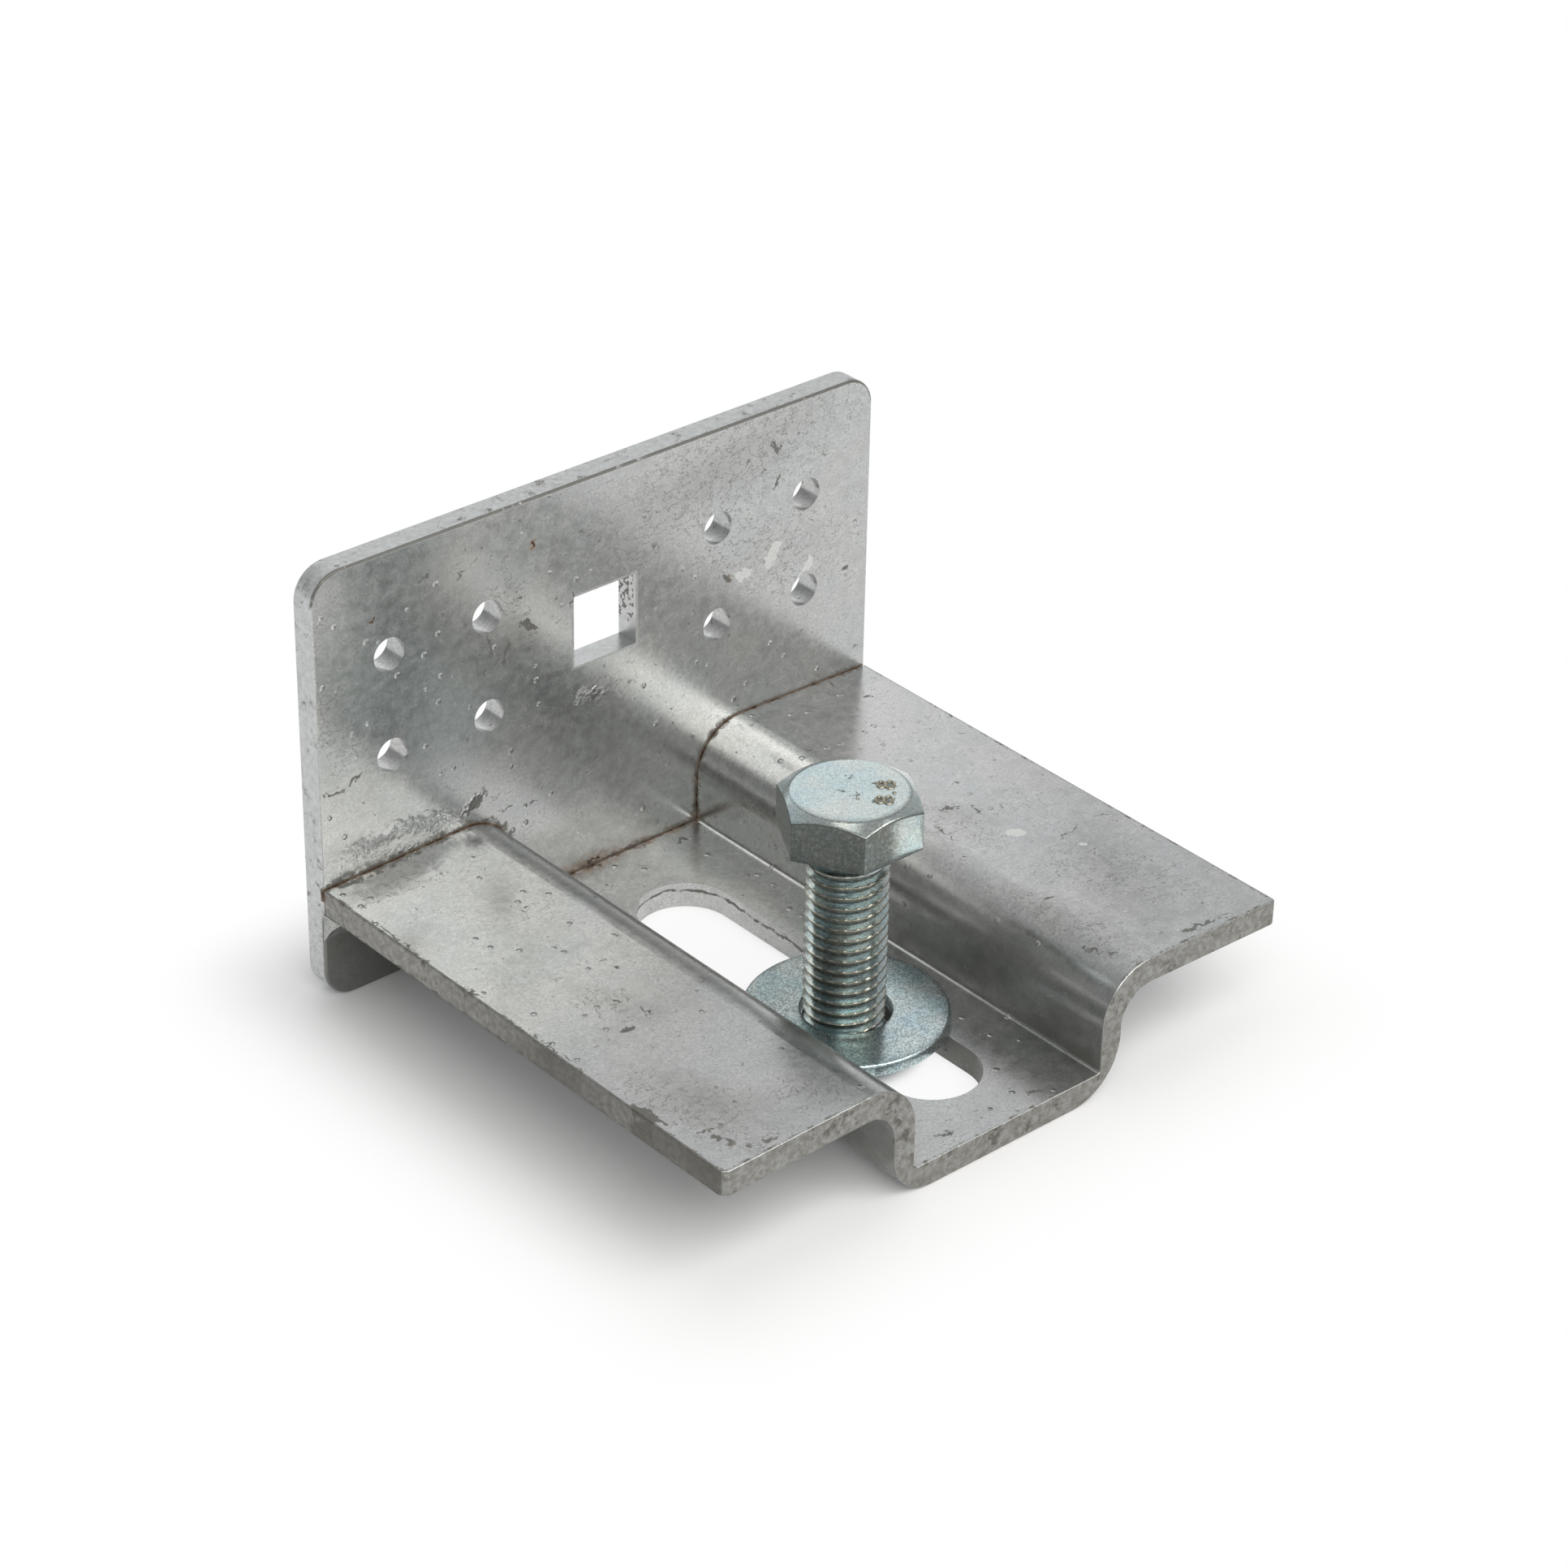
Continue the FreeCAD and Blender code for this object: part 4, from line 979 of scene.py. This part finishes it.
# Grime along the head's arrises, round its flat top and at its foot, and painted shade round the
# figures
chamfer = add_node(tree, "Math", {0: from_axis, 1: 0.577, 2: height}, operation="MULTIPLY_ADD")
arris = add_node(tree, "MapRange", {"Value": chamfer, 1: 46.86, 2: 47.08, 4: 0.80}, **SMOOTH)
off_chamfer = add_node(tree, "MapRange", {"Value": flat_on, 1: 0.855, 2: 0.60}, **SMOOTH)
arris = add_node(tree, "Math", {0: arris, 1: off_chamfer}, operation="MULTIPLY")
rim = add_node(tree, "Math", {0: from_axis, 1: 8.52, 2: 0.13}, operation="COMPARE")
rim = add_node(tree, "Math", {0: rim, 1: 0.36}, operation="MULTIPLY")
foot = {"Value": height, 1: HEAD_UNDER + 0.35, 2: HEAD_UNDER + 0.10, 4: 0.45}
foot = add_node(tree, "MapRange", foot, **SMOOTH)
foot = add_node(tree, "Math", {0: foot, 1: on_head}, operation="MULTIPLY")
# Painted shade round the foot of the raised figures on the head's top
round_figures = marks(tree, ragged(tree, place), "level", HEAD_TOP, ROUND_FIGURES)
round_figures = {"Value": round_figures, 1: 0.0, 2: 0.4, 4: 0.54}
round_figures = add_node(tree, "MapRange", round_figures, **SMOOTH)
below_figures = {"Value": height, 1: HEAD_TOP + 0.06, 2: HEAD_TOP + 0.02}
below_figures = add_node(tree, "MapRange", below_figures, **SMOOTH)
round_figures = add_node(tree, "Math", {0: round_figures, 1: below_figures}, operation="MULTIPLY")
for layer in (neck, root, arris, rim, foot, round_figures):
    grime = add_node(tree, "Math", {0: grime, 1: layer}, operation="MAXIMUM")

# Worn bronze on the thread's crests and the figures, and duller metal on the head's right
crest = add_node(tree, "MapRange", {"Value": from_axis, 1: 5.78, 2: 5.92, 4: 0.80}, **SMOOTH)
crest = add_node(tree, "Math", {0: crest, 1: below_head}, operation="MULTIPLY")
raised = {"Value": height, 1: HEAD_TOP + 0.03, 2: HEAD_TOP + 0.10, 4: 0.85}
raised = add_node(tree, "MapRange", raised, **SMOOTH)
dull = add_node(tree, "MapRange", {"Value": facing[0], 1: 0.1, 2: 0.4}, **SMOOTH)
for mask in (on_head, on_side):
    dull = add_node(tree, "Math", {0: dull, 1: mask}, operation="MULTIPLY")
plating = {
    "grain": 0.26,
    "crystal": 0.16,
    "blue": "#b7c7c9",
    "grey": "#c4cbc7",
    "sparkle": (0.78, 1.16),
    "worn": add_node(tree, "Math", {0: crest, 1: raised}, operation="MAXIMUM"),
    "worn_colour": "#9d927c",
    "grime": grime,
    "shade_and_grime_colour": "#45453a",
    "rough": (0.14, 0.22),
    "dull": dull,
    "relief": 0.004,
}
electroplate(tree, output, place, plating)


def hexagon(inset):
    """The head's outline, its corners rounded, with its sides moved in by inset."""
    apothem = HEAD_FLATS / 2 - inset
    corner = max(0.22 - inset, 0.08)
    out = (apothem - corner) / math.cos(math.radians(30))
    outline = []
    for side in range(6):
        at = math.radians(60 * side)
        for step in range(5):
            turn = at + math.radians(-30 + 15 * step)
            px = out * math.cos(at) + corner * math.cos(turn)
            py = out * math.sin(at) + corner * math.sin(turn)
            outline.append((px, py))
        start = outline[-1]
        following = math.radians(60 * side + 60)
        turn = at + math.radians(30)
        end_x = out * math.cos(following) + corner * math.cos(turn)
        end_y = out * math.sin(following) + corner * math.sin(turn)
        for step in range(1, 12):
            part = step / 12
            px = start[0] + (end_x - start[0]) * part
            py = start[1] + (end_y - start[1]) * part
            outline.append((px, py))
    return outline


def head_height(radius):
    """The head's top: flat in the middle, then falling at 30 degrees, with a soft edge between."""
    past = radius - HEAD_FLAT_TOP
    soft = 0.12
    return HEAD_TOP - math.tan(math.radians(30)) * soft * math.log1p(math.exp(past / soft))


def circle(radius, height):
    """A ring round the bolt's axis, with a point in each direction of the head's outline."""
    return [(radius * math.cos(turn), radius * math.sin(turn), height) for turn in directions]


CHAMFER_START = 8.75
bolt_form = bmesh.new()
directions = [math.atan2(py, px) for px, py in hexagon(0)]
layers = []
for radius in (7.4, 8.0, 8.25, 8.4, 8.55, CHAMFER_START):
    layers.append(circle(radius, head_height(radius)))
inner = hexagon(0.12)
for part in (0.25, 0.5, 0.75, 1.0):
    ring = []
    for turn, point in zip(directions, inner):
        radius = CHAMFER_START + (math.hypot(*point) - CHAMFER_START) * part
        ring.append((radius * math.cos(turn), radius * math.sin(turn), head_height(radius)))
    layers.append(ring)
for inset, fall in ((0.04, 0.02), (0.0, 0.07), (0.0, 0.5)):
    layers.append([(px, py, head_height(math.hypot(px, py)) - fall) for px, py in hexagon(inset)])
for inset, lift in ((0.0, 1.0), (0.0, 0.20), (0.04, 0.08), (0.12, 0.02)):
    layers.append([(px, py, HEAD_UNDER + lift) for px, py in hexagon(inset)])
for radius in (8.6, 6.2):
    layers.append(circle(radius, HEAD_UNDER))
middle_x, middle_y = BOLT_AXIS
rings = []
for layer in layers:
    spots = [Vector((middle_x + px, middle_y + py, pz)) * MM for px, py, pz in layer]
    rings.append([bolt_form.verts.new(spot) for spot in spots])
join_rings(bolt_form, rings)
bolt_form.faces.new(rings[0])

# The rolled thread: 60 degree flanks, a narrow flat crest and a round root
PITCH = 1.75
CREST = 5.95
THREAD_DEPTH = 1.07
FIRST_CREST = 0.84
NECK = 33.1
RUN_OUT = 1.6
THREAD_STEPS = 96
THREAD_LEVELS = 420
rings = []
for row in range(THREAD_LEVELS + 1):
    level_at = HEAD_UNDER * row / THREAD_LEVELS
    ring = []
    for step in range(THREAD_STEPS):
        turn = 2 * math.pi * step / THREAD_STEPS
        phase = ((level_at - FIRST_CREST) / PITCH - turn / (2 * math.pi)) % 1.0
        from_crest = min(phase, 1 - phase) * 2
        flank = min(max((from_crest - 0.13) / 0.60, 0.0), 1.0)
        flank = flank + 0.10 * math.sin(math.pi * flank) * (1 - flank)
        depth = THREAD_DEPTH * flank
        cut = min(max((NECK - level_at) / RUN_OUT, 0.0), 1.0)
        radius = CREST - depth * cut - (1 - cut) * 0.62
        radius = min(radius, CREST - max(0.0, 1.0 - level_at))
        px = middle_x + radius * math.cos(turn)
        py = middle_y + radius * math.sin(turn)
        ring.append(bolt_form.verts.new(Vector((px, py, level_at)) * MM))
    rings.append(ring)
join_rings(bolt_form, rings)
bolt_form.faces.new(list(reversed(rings[0])))
for face in bolt_form.faces:
    face.smooth = len(face.verts) == 4
bmesh.ops.recalc_face_normals(bolt_form, faces=bolt_form.faces)
for edge in bolt_form.edges:
    edge.smooth = edge.calc_face_angle(0.0) < math.radians(26)
bolt = add_piece("threaded_bolt", bolt_form, bolt_zinc)
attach(bolt, "root")
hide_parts("hex_bolt")


# Strength class on the head: the plain numbers 8.8, raised by the heading die and rounded over.
# They read with their feet towards the head's edge.
FIGURE_TALL = 2.7
FIGURE_WIDE = 2.25
FIGURE_GAP = 4.1
FIGURE_MIDDLE = (3.2, -3.6)
FIGURE_LOOPS = ((0.23, 0.72, 0.40), (-0.22, 0.86, 0.46))
POINT_WIDE = 0.14
reading = Vector((math.cos(math.radians(45)), math.sin(math.radians(45)), 0))
figure_up = Vector((-reading.y, reading.x, 0))


def add_loop(curve, middle, wide, tall):
    """One closed oval stroke lying on the head."""
    spline = curve.splines.new("NURBS")
    spline.points.add(7)
    for number, point in enumerate(spline.points):
        turn = 2 * math.pi * number / 8
        spot = middle + reading * wide / 2 * math.cos(turn) * 1.08
        spot = spot + figure_up * tall / 2 * math.sin(turn) * 1.08
        point.co = (spot.x * MM, spot.y * MM, spot.z * MM, 1)
    spline.use_cyclic_u = True
    spline.order_u = 3
    spline.resolution_u = 6


figures = bpy.data.curves.new("strength_class", "CURVE")
figures.dimensions = "3D"
figures.bevel_depth = 0.24 * MM
figures.bevel_resolution = 4
head_middle = Vector((middle_x + FIGURE_MIDDLE[0], middle_y + FIGURE_MIDDLE[1], HEAD_TOP - 0.02))
for side in (-1, 1):
    figure = head_middle + reading * side * FIGURE_GAP / 2
    for up, wide, tall in FIGURE_LOOPS:
        loop_middle = figure + figure_up * FIGURE_TALL * up
        add_loop(figures, loop_middle, FIGURE_WIDE * wide, FIGURE_TALL * tall)
add_loop(figures, head_middle - figure_up * FIGURE_TALL * 0.48, POINT_WIDE, POINT_WIDE)
strength_class = bpy.data.objects.new("strength_class", figures)
figures.materials.append(bolt_zinc)
bpy.context.scene.collection.objects.link(strength_class)
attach(strength_class, "root")
